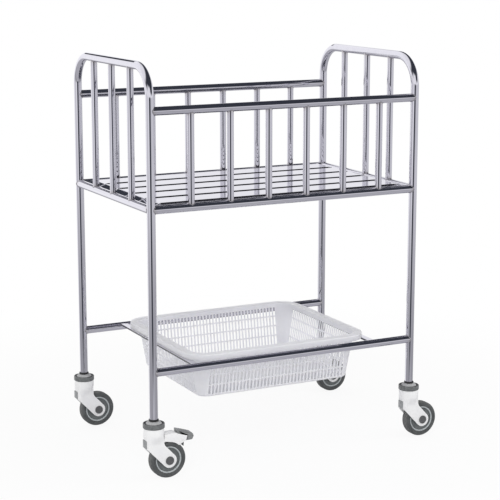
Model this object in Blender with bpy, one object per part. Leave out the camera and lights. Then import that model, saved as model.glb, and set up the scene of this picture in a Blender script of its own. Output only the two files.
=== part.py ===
"""Pediatric hospital crib: welded steel tube frame on four swivel casters, with a lift-out basket.

Metres, +Z up. +X runs along the crib, -Y is the front side, and the casters trail towards +X.
The origin lies on the floor, midway between the outermost points of the crib in X and in Y.
Tubes are hollow, and their ends are coped (fish-mouthed) to the tubes that they are welded to.
"""
import bpy
import bmesh
from math import asin, atan2, cos, pi, radians, sin, sqrt, tan
from mathutils import Matrix, Vector

# Frame: spacing of the leg axes, and heights of the tube axes above the floor
LEG_SPACING_X = 0.778
LEG_SPACING_Y = 0.500
TOP_BEND_Z = 1.065
UPPER_RAIL_DROP = 0.109
BED_RAIL_Z = 0.707
BASKET_RAIL_Z = 0.284

# Frame: tube sections and patterns
TUBE_RADIUS = 0.011
TUBE_WALL = 0.0012
BEND_RADIUS = 0.080
BAR_RADIUS = 0.009
BAR_WALL = 0.0010
SIDE_BAR_COUNT = 6
END_BAR_COUNT = 3

# Bed: wide slats of folded sheet, level with the tops of the rails
SLAT_COUNT = 5
SLAT_GAP = 0.015
SLAT_SIDE_GAP = 0.019
SLAT_RISE = 0.0115
SLAT_HEIGHT = 0.0140
SLAT_SHEET = 0.0010
SLAT_EDGE = 0.0035
SLAT_END_RUN = 0.021
SLAT_END_DROP = 0.008
SLAT_END_GAP = 0.0006
SLAT_NECK = 0.010

# Clearances: between welded or seated pieces, and between pieces that turn
WELD_GAP = 0.0003
RUN_GAP = 0.0003

# Flat runners that carry the basket's rim
RUNNER_WIDTH = 0.020
RUNNER_CLEARANCE = 0.0085
RUNNER_THICKNESS = 0.005
RUNNER_LIFT = 0.0085

# Basket: moulded tub with a turned-down rim
BASKET_RIM_X = 0.542
BASKET_RIM_Y = 0.470
BASKET_RIM_WIDTH = 0.025
BASKET_LIP_HEIGHT = 0.016
BASKET_DEPTH = 0.130
BASKET_TAPER = 0.020
BASKET_WALL = 0.0025
BASKET_CORNER = 0.038
BASKET_FOOT_ROUND = 0.008
SLOT_WIDTH = 0.013
SLOT_RIB = 0.0035
SLOT_TOP_BAND = 0.013
SLOT_FOOT_BAND = 0.0005
SLOT_ROWS = 4
LONG_WALL_SLOTS = 12
SHORT_WALL_SLOTS = 10

# Casters: wheel
WHEEL_RADIUS = 0.050
TYRE_WIDTH = 0.027
TYRE_TREAD_WIDTH = 0.017
TYRE_SHOULDER = 0.006
TYRE_DEPTH = 0.0140
HUB_RIM_DEPTH = 0.0035
HUB_WEB_WIDTH = 0.014
HUB_BOSS_RADIUS = 0.014
AXLE_RADIUS = 0.006
AXLE_HEAD_RADIUS = 0.0115
AXLE_HEAD_HEIGHT = 0.0020
TRAIL = 0.036

# Casters: fork
FORK_WALL = 0.0035
FORK_SIDE_GAP = 0.0020
FORK_EYE_RADIUS = 0.0195
FORK_LEG_ANGLE = radians(47)
FORK_REAR_EDGE = 0.021
FORK_REAR_FILLET = 0.012
FORK_NOTCH_WIDTH = 0.021
FORK_NOTCH_DROP = 0.005
HEAD_RADIUS = 0.0268
HEAD_HEIGHT = 0.0250
HEAD_SKIRT = 0.002
CROWN_CLEARANCE = 0.0143

# Casters: stem with its cap, king pin and the plug that fills the leg
KING_PIN_RADIUS = 0.008
KING_NUT_RADIUS = 0.012
KING_NUT_HEIGHT = 0.004
CAP_RADIUS = 0.0285
CAP_HEIGHT = 0.0180
CAP_BAND_HEIGHT = 0.0140
CAP_EDGE = 0.002
CAP_SEAT_RADIUS = 0.0130
PLUG_LENGTH = 0.040
PLUG_GAP = 0.0006

# Brake on the front left caster: pivot, lever, pedal pad and shoe. Pairs are (u, z) from the axle.
BRAKE_PIN_RADIUS = 0.003
BRAKE_PIN_AHEAD = 0.023
BRAKE_PIN_DROP = 0.011
LEVER_WIDTH = 0.029
LEVER_ROOT_RADIUS = 0.0052
LEVER_TYRE_GAP = 0.0020
LEVER_GAP_GROWTH = 0.0004
LEVER_TOP = 0.0705
LEVER_SEAT_HIGH = (0.0267, 0.0675)
LEVER_SEAT_LOW = (0.0525, 0.0592)
LEVER_TIP = (0.0490, 0.0475)
LEVER_ROUND = 0.003
PEDAL_WIDTH = 0.028
PEDAL_TAIL = (0.0255, 0.0785)
PEDAL_SHOULDER = (0.0680, 0.0645)
PEDAL_NOSE = (0.0720, 0.0555)
PEDAL_CHIN = (0.0670, 0.0460)
PEDAL_ROUND = 0.004
SHOE_WIDTH = 0.016
SHOE_TYRE_GAP = 0.0034
SHOE_START = radians(34)
SHOE_END = radians(50)
SHOE_OVERHANG = 0.003

# Facets of the round pieces
TUBE_SIDES = 12
BAR_SIDES = 10
BEND_STEPS = 7
WHEEL_SIDES = 16
CAP_SIDES = 14
PIN_SIDES = 10
CORNER_STEPS = 4
FILLET_STEPS = 3
SMOOTH_ANGLE = radians(35)

# Values that follow from the sizes above
HALF_X = LEG_SPACING_X / 2
HALF_Y = LEG_SPACING_Y / 2
UPPER_RAIL_Z = TOP_BEND_Z - UPPER_RAIL_DROP
SLAT_PITCH = (LEG_SPACING_Y - 2 * (TUBE_RADIUS + SLAT_SIDE_GAP) + SLAT_GAP) / SLAT_COUNT
SLAT_WIDTH = SLAT_PITCH - SLAT_GAP
AXLE_Z = WHEEL_RADIUS * cos(pi / WHEEL_SIDES)
CROWN_Z = AXLE_Z + WHEEL_RADIUS + CROWN_CLEARANCE
HEAD_TOP_Z = CROWN_Z + HEAD_HEIGHT
CAP_BOTTOM_Z = HEAD_TOP_Z + RUN_GAP
CAP_TOP_Z = CAP_BOTTOM_Z + CAP_HEIGHT
LEG_BOTTOM_Z = CAP_TOP_Z + WELD_GAP
FORK_INNER = TYRE_WIDTH / 2 + FORK_SIDE_GAP
FORK_OUTER = FORK_INNER + FORK_WALL
RUNNER_TOP_Z = BASKET_RAIL_Z + RUNNER_LIFT
RIM_TOP_Z = RUNNER_TOP_Z + WELD_GAP + BASKET_LIP_HEIGHT
MOUTH_X = BASKET_RIM_X / 2 - BASKET_RIM_WIDTH
MOUTH_Y = BASKET_RIM_Y / 2 - BASKET_RIM_WIDTH
RUNNER_X = MOUTH_X + BASKET_WALL + RUNNER_CLEARANCE + RUNNER_WIDTH / 2
SLOT_SPAN = BASKET_DEPTH - SLOT_TOP_BAND - BASKET_FOOT_ROUND - SLOT_FOOT_BAND
SLOT_PITCH_DOWN = (SLOT_SPAN + SLOT_RIB) / SLOT_ROWS
SLOT_HEIGHT = SLOT_PITCH_DOWN - SLOT_RIB
BRAKE_PIN_U = TRAIL - BRAKE_PIN_AHEAD
BRAKE_PIN_Z = CROWN_Z - BRAKE_PIN_DROP
FRAME_SHIFT = (CAP_RADIUS - TRAIL - AXLE_Z) / 2

X_AXIS = Vector((1, 0, 0))
Y_AXIS = Vector((0, 1, 0))
Z_AXIS = Vector((0, 0, 1))
CORNERS = {
    "front_left": (-HALF_X, -HALF_Y),
    "front_right": (HALF_X, -HALF_Y),
    "rear_left": (-HALF_X, HALF_Y),
    "rear_right": (HALF_X, HALF_Y),
}


def clear_scene():
    for item in list(bpy.data.objects):
        bpy.data.objects.remove(item, do_unlink=True)


def make_material(name, colour, roughness, metallic):
    material = bpy.data.materials.new(name)
    material.use_nodes = True
    shader = material.node_tree.nodes["Principled BSDF"]
    shader.inputs["Base Color"].default_value = (*colour, 1.0)
    shader.inputs["Roughness"].default_value = roughness
    shader.inputs["Metallic"].default_value = metallic
    return material


def finish_mesh(name, form):
    """Close a bmesh into a mesh whose faces point outwards, smooth except at its sharp edges."""
    bmesh.ops.remove_doubles(form, verts=form.verts, dist=1e-6)
    bmesh.ops.recalc_face_normals(form, faces=form.faces)
    mesh = bpy.data.meshes.new(name)
    form.to_mesh(mesh)
    form.free()
    mesh.shade_smooth()
    mesh.set_sharp_from_angle(angle=SMOOTH_ANGLE)
    return mesh


def place(name, mesh, material, parent, location=(0, 0, 0)):
    """Make the named object of a mesh, with its origin at location in the crib's frame."""
    piece = bpy.data.objects.new(name, mesh)
    bpy.context.scene.collection.objects.link(piece)
    piece.parent = parent
    piece.location = location
    if not mesh.materials:
        mesh.materials.append(material)
    return piece


def rounded(corners, steps=FILLET_STEPS):
    """Outline through (a, b, radius) corners, each corner with a radius drawn as an arc of steps."""
    outline = []
    count = len(corners)
    for index, (a, b, radius) in enumerate(corners):
        here = Vector((a, b))
        if radius == 0:
            outline.append(here)
            continue
        before = (Vector(corners[index - 1][:2]) - here).normalized()
        after = (Vector(corners[(index + 1) % count][:2]) - here).normalized()
        half = before.angle(after) / 2
        centre = here + (before + after).normalized() * (radius / sin(half))
        start = here + before * (radius / tan(half)) - centre
        turn = start.angle_signed(here + after * (radius / tan(half)) - centre)
        for step in range(steps + 1):
            outline.append(centre + Matrix.Rotation(-turn * step / steps, 2) @ start)
    return outline


def arc(centre_a, centre_b, radius, start, end, steps):
    """Points of an arc from angle start to angle end, both included."""
    angles = [start + (end - start) * step / steps for step in range(steps + 1)]
    return [Vector((centre_a + radius * cos(angle), centre_b + radius * sin(angle))) for angle in angles]


def prism(name, outline, axis, low, high):
    """Extrude an outline along axis "Y" (outline in X, Z) or "Z" (outline in X, Y)."""
    form = bmesh.new()
    if axis == "Y":
        corners = [form.verts.new((a, low, b)) for a, b in outline]
        travel = Y_AXIS * (high - low)
    else:
        corners = [form.verts.new((a, b, low)) for a, b in outline]
        travel = Z_AXIS * (high - low)
    face = form.faces.new(corners)
    grown = bmesh.ops.extrude_face_region(form, geom=[face])
    moved = [item for item in grown["geom"] if isinstance(item, bmesh.types.BMVert)]
    bmesh.ops.translate(form, verts=moved, vec=travel)
    return finish_mesh(name, form)


def turned(name, profile, axis, sides, closed, phase=0.0):
    """Spin a profile of (radius, height) points about axis; a closed profile makes a ring."""
    across = Z_AXIS if axis == Y_AXIS else X_AXIS
    across = Matrix.Rotation(phase, 3, axis) @ across
    form = bmesh.new()
    points = [form.verts.new(across * radius + axis * height) for radius, height in profile]
    pairs = list(zip(points, points[1:]))
    if closed:
        pairs.append((points[-1], points[0]))
    edges = [form.edges.new(pair) for pair in pairs]
    bmesh.ops.spin(form, geom=points + edges, axis=axis, cent=(0, 0, 0), angle=2 * pi, steps=sides)
    return finish_mesh(name, form)


def combined(base, *steps):
    """Boolean the base mesh with each (operation, tool mesh) in turn."""
    scene_objects = bpy.context.scene.collection.objects
    work = bpy.data.objects.new("work", base)
    scene_objects.link(work)
    tools = []
    for operation, tool_mesh in steps:
        tool = bpy.data.objects.new("tool", tool_mesh)
        scene_objects.link(tool)
        tools.append(tool)
        modifier = work.modifiers.new(operation, "BOOLEAN")
        modifier.operation = operation
        modifier.object = tool
        modifier.solver = "EXACT"
    depsgraph = bpy.context.evaluated_depsgraph_get()
    mesh = bpy.data.meshes.new_from_object(work.evaluated_get(depsgraph))
    for item in [work] + tools:
        bpy.data.objects.remove(item, do_unlink=True)
    mesh.shade_smooth()
    mesh.set_sharp_from_angle(angle=SMOOTH_ANGLE)
    return mesh


# Tubes

def cope_reach(offset, direction, copes):
    """How far from the joint a tube's surface stops, at this offset from its own axis.

    Each cope is (axis, radius, side) of a tube that crosses the joint. A surface line that
    passes the crossing axis at distance d meets it at sqrt(radius^2 - d^2). Where side is given,
    the crossing tube lies on that side alone.
    """
    reach = 0.0
    for axis, radius, side in copes:
        if side is not None and offset.dot(side) <= 0:
            continue
        passing = offset.dot(direction.cross(axis))
        reach = max(reach, sqrt(max((radius + WELD_GAP) ** 2 - passing ** 2, 0.0)))
    return reach


def circle_section(direction, radius, sides):
    """Offsets of a round section about a tube that runs along direction."""
    across = X_AXIS if abs(direction.z) > 0.5 else direction.cross(Z_AXIS)
    turn = 2 * pi / sides
    return [Matrix.Rotation(turn * step, 3, direction) @ across * radius for step in range(sides)]


def coped_bar(name, start, end, section, bore, start_copes, end_copes):
    """Straight bar between two joints, with coped ends, and hollow if a bore section is given."""
    start = Vector(start)
    end = Vector(end)
    direction = (end - start).normalized()
    form = bmesh.new()

    def ring(offsets, joint, way, copes):
        return [form.verts.new(joint + o + way * cope_reach(o, way, copes)) for o in offsets]

    outer = [ring(section, start, direction, start_copes), ring(section, end, -direction, end_copes)]
    for index in range(len(section)):
        after = (index + 1) % len(section)
        form.faces.new((outer[0][index], outer[0][after], outer[1][after], outer[1][index]))
    if bore:
        inner = [ring(bore, start, direction, start_copes), ring(bore, end, -direction, end_copes)]
        for index in range(len(section)):
            after = (index + 1) % len(section)
            form.faces.new((inner[0][after], inner[0][index], inner[1][index], inner[1][after]))
            form.faces.new((outer[0][after], outer[0][index], inner[0][index], inner[0][after]))
            form.faces.new((outer[1][index], outer[1][after], inner[1][after], inner[1][index]))
    else:
        form.faces.new(reversed(outer[0]))
        form.faces.new(outer[1])
    return finish_mesh(name, form)


def coped_tube(name, start, end, radius, wall, sides, start_copes, end_copes=None):
    direction = (Vector(end) - Vector(start)).normalized()
    section = circle_section(direction, radius, sides)
    bore = circle_section(direction, radius - wall, sides)
    return coped_bar(name, start, end, section, bore, start_copes, end_copes or start_copes)


def end_frame_path():
    """Axis of one bent end frame in the Y-Z plane, as (y, z, tangent angle), foot to foot."""
    bend_y = HALF_Y - BEND_RADIUS
    bend_z = TOP_BEND_Z - BEND_RADIUS
    path = [(-HALF_Y, LEG_BOTTOM_Z, pi / 2)]
    for side, first in ((-1, pi), (1, pi / 2)):
        for step in range(BEND_STEPS + 1):
            angle = first - pi / 2 * step / BEND_STEPS
            y = side * bend_y + BEND_RADIUS * cos(angle)
            path.append((y, bend_z + BEND_RADIUS * sin(angle), angle - pi / 2))
    path.append((HALF_Y, LEG_BOTTOM_Z, -pi / 2))
    return path


def end_frame_mesh(name, x):
    """Hollow tube bent to an inverted U whose two legs run down to the casters."""
    form = bmesh.new()
    skins = []
    for radius in (TUBE_RADIUS, TUBE_RADIUS - TUBE_WALL):
        rings = []
        for y, z, heading in end_frame_path():
            outward = Vector((0, -sin(heading), cos(heading)))
            ring = []
            for step in range(TUBE_SIDES):
                angle = 2 * pi * step / TUBE_SIDES
                offset = X_AXIS * (radius * cos(angle)) + outward * (radius * sin(angle))
                ring.append(form.verts.new(Vector((x, y, z)) + offset))
            rings.append(ring)
        skins.append(rings)
        for near, far in zip(rings, rings[1:]):
            for step in range(TUBE_SIDES):
                after = (step + 1) % TUBE_SIDES
                form.faces.new((near[step], near[after], far[after], far[step]))
    for foot in (0, -1):
        outer, inner = skins[0][foot], skins[1][foot]
        for step in range(TUBE_SIDES):
            after = (step + 1) % TUBE_SIDES
            form.faces.new((outer[step], outer[after], inner[after], inner[step]))
    return finish_mesh(name, form)


def spread(count, span):
    """Positions of count pieces that part a span, centred on 0, into equal gaps."""
    return [span * ((index + 1) / (count + 1) - 0.5) for index in range(count)]


def build_end(side_name, side, steel, root):
    """One end: the bent frame, its cross rail at bed height and its upright bars."""
    x = side * HALF_X
    place(f"{side_name}_end_frame", end_frame_mesh("end_frame", x), steel, root)
    leg = (Z_AXIS, TUBE_RADIUS, None)
    side_rail = (X_AXIS, TUBE_RADIUS, -side * X_AXIS)
    rail = coped_tube("end_rail", (x, -HALF_Y, BED_RAIL_Z), (x, HALF_Y, BED_RAIL_Z),
                      TUBE_RADIUS, TUBE_WALL, TUBE_SIDES, [leg, side_rail])
    place(f"{side_name}_end_rail", rail, steel, root)
    cross_tube = (Y_AXIS, TUBE_RADIUS, None)
    for number, y in enumerate(spread(END_BAR_COUNT, LEG_SPACING_Y), start=1):
        bar = coped_tube("end_bar", (x, y, BED_RAIL_Z), (x, y, TOP_BEND_Z),
                         BAR_RADIUS, BAR_WALL, BAR_SIDES, [cross_tube])
        place(f"{side_name}_end_bar_{number}", bar, steel, root)


def build_side(side_name, side, steel, root):
    """One long side: upper and lower rails with bars between them, and the basket rail below."""
    y = side * HALF_Y
    leg = (Z_AXIS, TUBE_RADIUS, None)
    for rail_name, z in (("upper", UPPER_RAIL_Z), ("lower", BED_RAIL_Z), ("basket", BASKET_RAIL_Z)):
        rail = coped_tube("side_rail", (-HALF_X, y, z), (HALF_X, y, z),
                          TUBE_RADIUS, TUBE_WALL, TUBE_SIDES, [leg])
        place(f"{side_name}_{rail_name}_rail", rail, steel, root)
    long_rail = (X_AXIS, TUBE_RADIUS, None)
    for number, x in enumerate(spread(SIDE_BAR_COUNT, LEG_SPACING_X), start=1):
        bar = coped_tube("side_bar", (x, y, BED_RAIL_Z), (x, y, UPPER_RAIL_Z),
                         BAR_RADIUS, BAR_WALL, BAR_SIDES, [long_rail])
        place(f"{side_name}_bar_{number}", bar, steel, root)


def slat_mesh():
    """Shallow channel of folded sheet, open below. It widens near its ends, so that the gaps between
    slats close there, and its top slopes down to the end rails."""
    top = BED_RAIL_Z + SLAT_RISE
    foot = top - SLAT_HEIGHT
    under = top - SLAT_SHEET
    fold = SLAT_EDGE - (2 - sqrt(2)) * SLAT_SHEET

    def section(half):
        bore = half - SLAT_SHEET
        outside = [(-half, foot, 0), (-half, top, SLAT_EDGE), (half, top, SLAT_EDGE), (half, foot, 0)]
        inside = [(bore, foot, 0), (bore, under, fold), (-bore, under, fold), (-bore, foot, 0)]
        return rounded(outside, 1) + rounded(inside, 1)

    middle = section(SLAT_WIDTH / 2)
    end = section((SLAT_PITCH - SLAT_END_GAP) / 2)
    reach = HALF_X - TUBE_RADIUS - WELD_GAP
    flat = reach - SLAT_END_RUN
    stations = [(-reach, SLAT_END_DROP, end), (-flat, 0.0, end), (-flat + SLAT_NECK, 0.0, middle)]
    stations += [(-x, drop, points) for x, drop, points in reversed(stations)]
    form = bmesh.new()
    rings = []
    for x, drop, points in stations:
        rings.append([form.verts.new((x, y, max(z - drop, foot))) for y, z in points])
    for near, far in zip(rings, rings[1:]):
        for index in range(len(near)):
            after = (index + 1) % len(near)
            form.faces.new((near[index], near[after], far[after], far[index]))
    form.faces.new(rings[0])
    form.faces.new(rings[-1])
    return finish_mesh("slat", form)


def build_bed(steel, root):
    """Slats from end rail to end rail, which carry the mattress."""
    for index in range(SLAT_COUNT):
        y = SLAT_PITCH * (index - (SLAT_COUNT - 1) / 2)
        place(f"bed_slat_{index + 1}", slat_mesh(), steel, root, (0, y, 0))


def build_runners(steel, root):
    """Flat strips between the basket rails, with their top faces RUNNER_LIFT above the rail axes."""
    rail = (X_AXIS, TUBE_RADIUS, None)
    half = RUNNER_WIDTH / 2
    heights = [RUNNER_LIFT - RUNNER_THICKNESS * share for share in (1.0, 0.5, 0.0)]
    section = [Vector((half, 0, z)) for z in heights]
    section += [Vector((-half, 0, z)) for z in reversed(heights)]
    for side_name, side in (("left", -1), ("right", 1)):
        x = side * RUNNER_X
        strip = coped_bar("runner", (x, -HALF_Y, BASKET_RAIL_Z), (x, HALF_Y, BASKET_RAIL_Z),
                          section, None, [rail], [rail])
        place(f"{side_name}_basket_runner", strip, steel, root)


# Basket

def tub_ring(form, half_x, half_y, corner, z):
    """Rounded rectangle of vertices at height z."""
    ring = []
    quadrants = ((1, 1, 0), (-1, 1, 1), (-1, -1, 2), (1, -1, 3))
    for sign_x, sign_y, quarter in quadrants:
        points = arc(sign_x * (half_x - corner), sign_y * (half_y - corner), corner,
                     quarter * pi / 2, (quarter + 1) * pi / 2, CORNER_STEPS)
        ring += [form.verts.new((x, y, z)) for x, y in points]
    return ring


def tub_shell():
    """Tub with tapered walls, rounded foot and a flat rim that turns down into a lip."""
    floor_z = RIM_TOP_Z - BASKET_DEPTH
    foot = BASKET_FOOT_ROUND
    lip_z = RIM_TOP_Z - BASKET_LIP_HEIGHT
    wall = BASKET_WALL

    def inset(depth, thickness):
        """Half sizes and corner radius of the wall's surface at this depth below the rim."""
        lean = BASKET_TAPER * depth / BASKET_DEPTH - thickness
        return MOUTH_X - lean, MOUTH_Y - lean, BASKET_CORNER - lean / 2

    def level(depth, thickness, tuck=0.0):
        half_x, half_y, corner = inset(depth, thickness)
        return half_x - tuck, half_y - tuck, corner - tuck, RIM_TOP_Z - depth

    rim = BASKET_RIM_WIDTH
    outer_corner = BASKET_CORNER + rim
    rim_x, rim_y = BASKET_RIM_X / 2, BASKET_RIM_Y / 2
    levels = [
        level(BASKET_DEPTH - wall, 0.0, foot),
        level(BASKET_DEPTH - foot, 0.0),
        level(0.0, 0.0),
        (rim_x, rim_y, outer_corner, RIM_TOP_Z),
        (rim_x, rim_y, outer_corner, lip_z),
        (rim_x - wall, rim_y - wall, outer_corner - wall, lip_z),
        (rim_x - wall, rim_y - wall, outer_corner - wall, RIM_TOP_Z - wall),
        level(wall, wall),
        level(BASKET_DEPTH - foot, wall),
        (*level(BASKET_DEPTH, wall, foot)[:3], floor_z),
    ]
    form = bmesh.new()
    rings = [tub_ring(form, *size) for size in levels]
    for near, far in zip(rings, rings[1:]):
        for index in range(len(near)):
            after = (index + 1) % len(near)
            form.faces.new((near[index], near[after], far[after], far[index]))
    form.faces.new(rings[0])
    form.faces.new(reversed(rings[-1]))
    return finish_mesh("tub", form)


def slot_cutter(count, along, mouth, reach):
    """Boxes for the slots of two facing walls: rows down the wall, count columns along its flat."""
    pitch = 2 * (mouth - BASKET_TAPER - BASKET_CORNER) / count
    form = bmesh.new()
    for row in range(SLOT_ROWS):
        z = RIM_TOP_Z - SLOT_TOP_BAND - SLOT_HEIGHT / 2 - row * SLOT_PITCH_DOWN
        for column in range(count):
            offset = (column - (count - 1) / 2) * pitch
            if along == X_AXIS:
                size = (SLOT_WIDTH, 2 * reach, SLOT_HEIGHT)
            else:
                size = (2 * reach, SLOT_WIDTH, SLOT_HEIGHT)
            at = Matrix.Translation(along * offset + Z_AXIS * z)
            bmesh.ops.create_cube(form, size=1.0, matrix=at @ Matrix.Diagonal((*size, 1.0)))
    return finish_mesh("slots", form)


def build_basket(plastic, root):
    """Tub with rows of upright slots in all four walls. The slots stop short of the rim's lip."""
    half_rim = BASKET_RIM_WIDTH / 2
    long_slots = slot_cutter(LONG_WALL_SLOTS, X_AXIS, MOUTH_X, MOUTH_Y + half_rim)
    short_slots = slot_cutter(SHORT_WALL_SLOTS, Y_AXIS, MOUTH_Y, MOUTH_X + half_rim)
    basket = combined(tub_shell(), ("DIFFERENCE", long_slots), ("DIFFERENCE", short_slots))
    place("basket", basket, plastic, root)


# Casters, modelled about the swivel axis: u runs along the trail (+X), z is above the floor

def stem_mesh():
    """Plug in the leg, cap with a sloped top below it, and the king pin with the nut that holds the fork."""
    plug = TUBE_RADIUS - TUBE_WALL - PLUG_GAP
    plug_top = LEG_BOTTOM_Z + PLUG_LENGTH
    band_top = CAP_BOTTOM_Z + CAP_BAND_HEIGHT
    nut_top = CROWN_Z - RUN_GAP
    profile = [
        (0, plug_top),
        (plug, plug_top),
        (plug, CAP_TOP_Z),
        (CAP_SEAT_RADIUS, CAP_TOP_Z),
        (CAP_RADIUS - CAP_EDGE, band_top),
        (CAP_RADIUS, band_top - CAP_EDGE),
        (CAP_RADIUS, CAP_BOTTOM_Z + CAP_EDGE),
        (CAP_RADIUS - CAP_EDGE, CAP_BOTTOM_Z),
        (KING_PIN_RADIUS, CAP_BOTTOM_Z),
        (KING_PIN_RADIUS, nut_top),
        (KING_NUT_RADIUS, nut_top),
        (KING_NUT_RADIUS, nut_top - KING_NUT_HEIGHT),
        (0, nut_top - KING_NUT_HEIGHT),
    ]
    return turned("caster_stem", profile, Z_AXIS, CAP_SIDES, closed=False)


def fork_side_outline():
    """Side view: a slanted leg with a round eye at the axle, below an upright front and rear edge."""
    lower = Vector((-sin(FORK_LEG_ANGLE), -cos(FORK_LEG_ANGLE))) * FORK_EYE_RADIUS
    up_leg = Vector((-cos(FORK_LEG_ANGLE), sin(FORK_LEG_ANGLE)))
    axle = Vector((TRAIL, AXLE_Z))
    front = axle + lower
    front += up_leg * ((front.x + HEAD_RADIUS) / -up_leg.x)
    rear = axle - lower
    rear += up_leg * ((rear.x - FORK_REAR_EDGE) / -up_leg.x)
    start = atan2(lower.y, lower.x)
    eye = [(*point, 0) for point in arc(*axle, FORK_EYE_RADIUS, start, start + pi, 2 * CORNER_STEPS)]
    top = CROWN_Z + HEAD_HEIGHT / 2
    corners = [(-HEAD_RADIUS, top, 0), (*front, 0)] + eye
    corners += [(*rear, FORK_REAR_FILLET), (FORK_REAR_EDGE, top, 0)]
    return rounded(corners)


def fork_plan_outline(radius, half_width, rear):
    """Plan view: a round front of the head's radius that runs back into two flat sides."""
    spread_angle = asin(min(half_width / radius, 1.0))
    front = arc(0, 0, radius, pi - spread_angle, pi + spread_angle, 2 * CORNER_STEPS)
    return front + [Vector((rear, -half_width)), Vector((rear, half_width))]


def cross_pin(name, u, z, radius, half_length):
    """Plain round pin across the caster, at (u, z) in side view."""
    profile = [(0, -half_length), (radius, -half_length), (radius, half_length), (0, half_length)]
    mesh = turned(name, profile, Y_AXIS, PIN_SIDES, closed=False)
    mesh.transform(Matrix.Translation((u, 0, z)))
    return mesh


def fork_mesh(with_brake):
    """Moulded fork: side and plan outlines crossed, joined to a round head, then hollowed."""
    rear = TRAIL + FORK_EYE_RADIUS
    side = prism("side", fork_side_outline(), "Y", -2 * FORK_OUTER, 2 * FORK_OUTER)
    plan = prism("plan", fork_plan_outline(HEAD_RADIUS, FORK_OUTER, 2 * rear), "Z",
                 0.0, CROWN_Z + HEAD_HEIGHT / 3)
    head_profile = [(0, CROWN_Z - HEAD_SKIRT), (HEAD_RADIUS, CROWN_Z - HEAD_SKIRT),
                    (HEAD_RADIUS, HEAD_TOP_Z), (0, HEAD_TOP_Z)]
    head = turned("head", head_profile, Z_AXIS, CAP_SIDES, closed=False)
    cavity = prism("cavity", fork_plan_outline(HEAD_RADIUS - FORK_WALL, FORK_INNER, 3 * rear), "Z",
                   -CROWN_Z, CROWN_Z)
    pin_hole = KING_PIN_RADIUS + RUN_GAP
    pin_profile = [(0, CROWN_Z / 2), (pin_hole, CROWN_Z / 2),
                   (pin_hole, 2 * HEAD_TOP_Z), (0, 2 * HEAD_TOP_Z)]
    king_hole = turned("king_hole", pin_profile, Z_AXIS, CAP_SIDES, closed=False)
    axle_hole = cross_pin("axle_hole", TRAIL, AXLE_Z, AXLE_RADIUS + RUN_GAP, 2 * FORK_OUTER)
    notch_half = FORK_NOTCH_WIDTH / 2
    notch_outline = [(-2 * HEAD_RADIUS, -notch_half), (-FORK_WALL, -notch_half),
                     (-FORK_WALL, notch_half), (-2 * HEAD_RADIUS, notch_half)]
    notch = prism("notch", notch_outline, "Z", -HEAD_TOP_Z, CROWN_Z - FORK_NOTCH_DROP)
    steps = [("INTERSECT", plan), ("UNION", head), ("DIFFERENCE", cavity), ("DIFFERENCE", king_hole),
             ("DIFFERENCE", axle_hole), ("DIFFERENCE", notch)]
    if with_brake:
        brake_hole = cross_pin("brake_hole", BRAKE_PIN_U, BRAKE_PIN_Z,
                               BRAKE_PIN_RADIUS + RUN_GAP, 2 * FORK_OUTER)
        steps.append(("DIFFERENCE", brake_hole))
    return combined(side, *steps)


def axle_mesh():
    """Axle with a round cap on each side of the fork."""
    seat = FORK_OUTER + WELD_GAP
    end = seat + AXLE_HEAD_HEIGHT
    half = [(AXLE_RADIUS, seat), (AXLE_HEAD_RADIUS, seat), (AXLE_HEAD_RADIUS, end), (0, end)]
    profile = [(radius, -height) for radius, height in reversed(half)] + half
    return turned("axle", profile, Y_AXIS, PIN_SIDES, closed=False)


def mirrored_ring(name, half):
    """Ring turned about the axle from one half of its profile, with a flat facet at the bottom."""
    profile = half + [(radius, -height) for radius, height in reversed(half)]
    return turned(name, profile, Y_AXIS, WHEEL_SIDES, closed=True, phase=pi / WHEEL_SIDES)


def hub_mesh():
    """Wheel core: a boss on the axle, a recessed web and a rim under the tyre."""
    rim = WHEEL_RADIUS - TYRE_DEPTH - WELD_GAP
    bore = AXLE_RADIUS + RUN_GAP
    boss_half = FORK_INNER - RUN_GAP
    rim_half = TYRE_WIDTH / 2 - FORK_SIDE_GAP
    web_half = HUB_WEB_WIDTH / 2
    half = [(bore, boss_half), (HUB_BOSS_RADIUS - FORK_SIDE_GAP, boss_half), (HUB_BOSS_RADIUS, web_half),
            (rim - HUB_RIM_DEPTH, web_half), (rim - HUB_RIM_DEPTH, rim_half), (rim, rim_half)]
    return mirrored_ring("hub", half)


def tyre_mesh():
    """Soft tyre with a round shoulder on each side of its tread."""
    inner = WHEEL_RADIUS - TYRE_DEPTH
    side = TYRE_WIDTH / 2
    half = [(inner, side - FORK_SIDE_GAP), (WHEEL_RADIUS - TYRE_SHOULDER, side),
            (WHEEL_RADIUS - TYRE_SHOULDER / 4, (side + TYRE_TREAD_WIDTH / 2) / 2),
            (WHEEL_RADIUS, TYRE_TREAD_WIDTH / 2)]
    return mirrored_ring("tyre", half)


def build_casters(finish, root):
    """Four casters with the same pieces. The front left fork also carries the brake's pin."""
    stem = stem_mesh()
    plain_fork = fork_mesh(with_brake=False)
    axle = axle_mesh()
    hub = hub_mesh()
    tyre = tyre_mesh()
    for corner, (x, y) in CORNERS.items():
        fork = fork_mesh(with_brake=True) if corner == "front_left" else plain_fork
        place(f"{corner}_caster_stem", stem, finish["cap"], root, (x, y, 0))
        place(f"{corner}_fork", fork, finish["fork"], root, (x, y, 0))
        wheel_centre = (x + TRAIL, y, AXLE_Z)
        place(f"{corner}_axle", axle, finish["axle"], root, wheel_centre)
        place(f"{corner}_hub", hub, finish["hub"], root, wheel_centre)
        place(f"{corner}_tyre", tyre, finish["tyre"], root, wheel_centre)


# Brake, modelled about its pin: the lever passes over the tyre between the fork's legs

def from_axle(point):
    """Turn a (u, z) pair measured from the axle into one measured from the brake's pin."""
    return Vector((point[0] + BRAKE_PIN_AHEAD, point[1] + AXLE_Z - BRAKE_PIN_Z))


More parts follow.
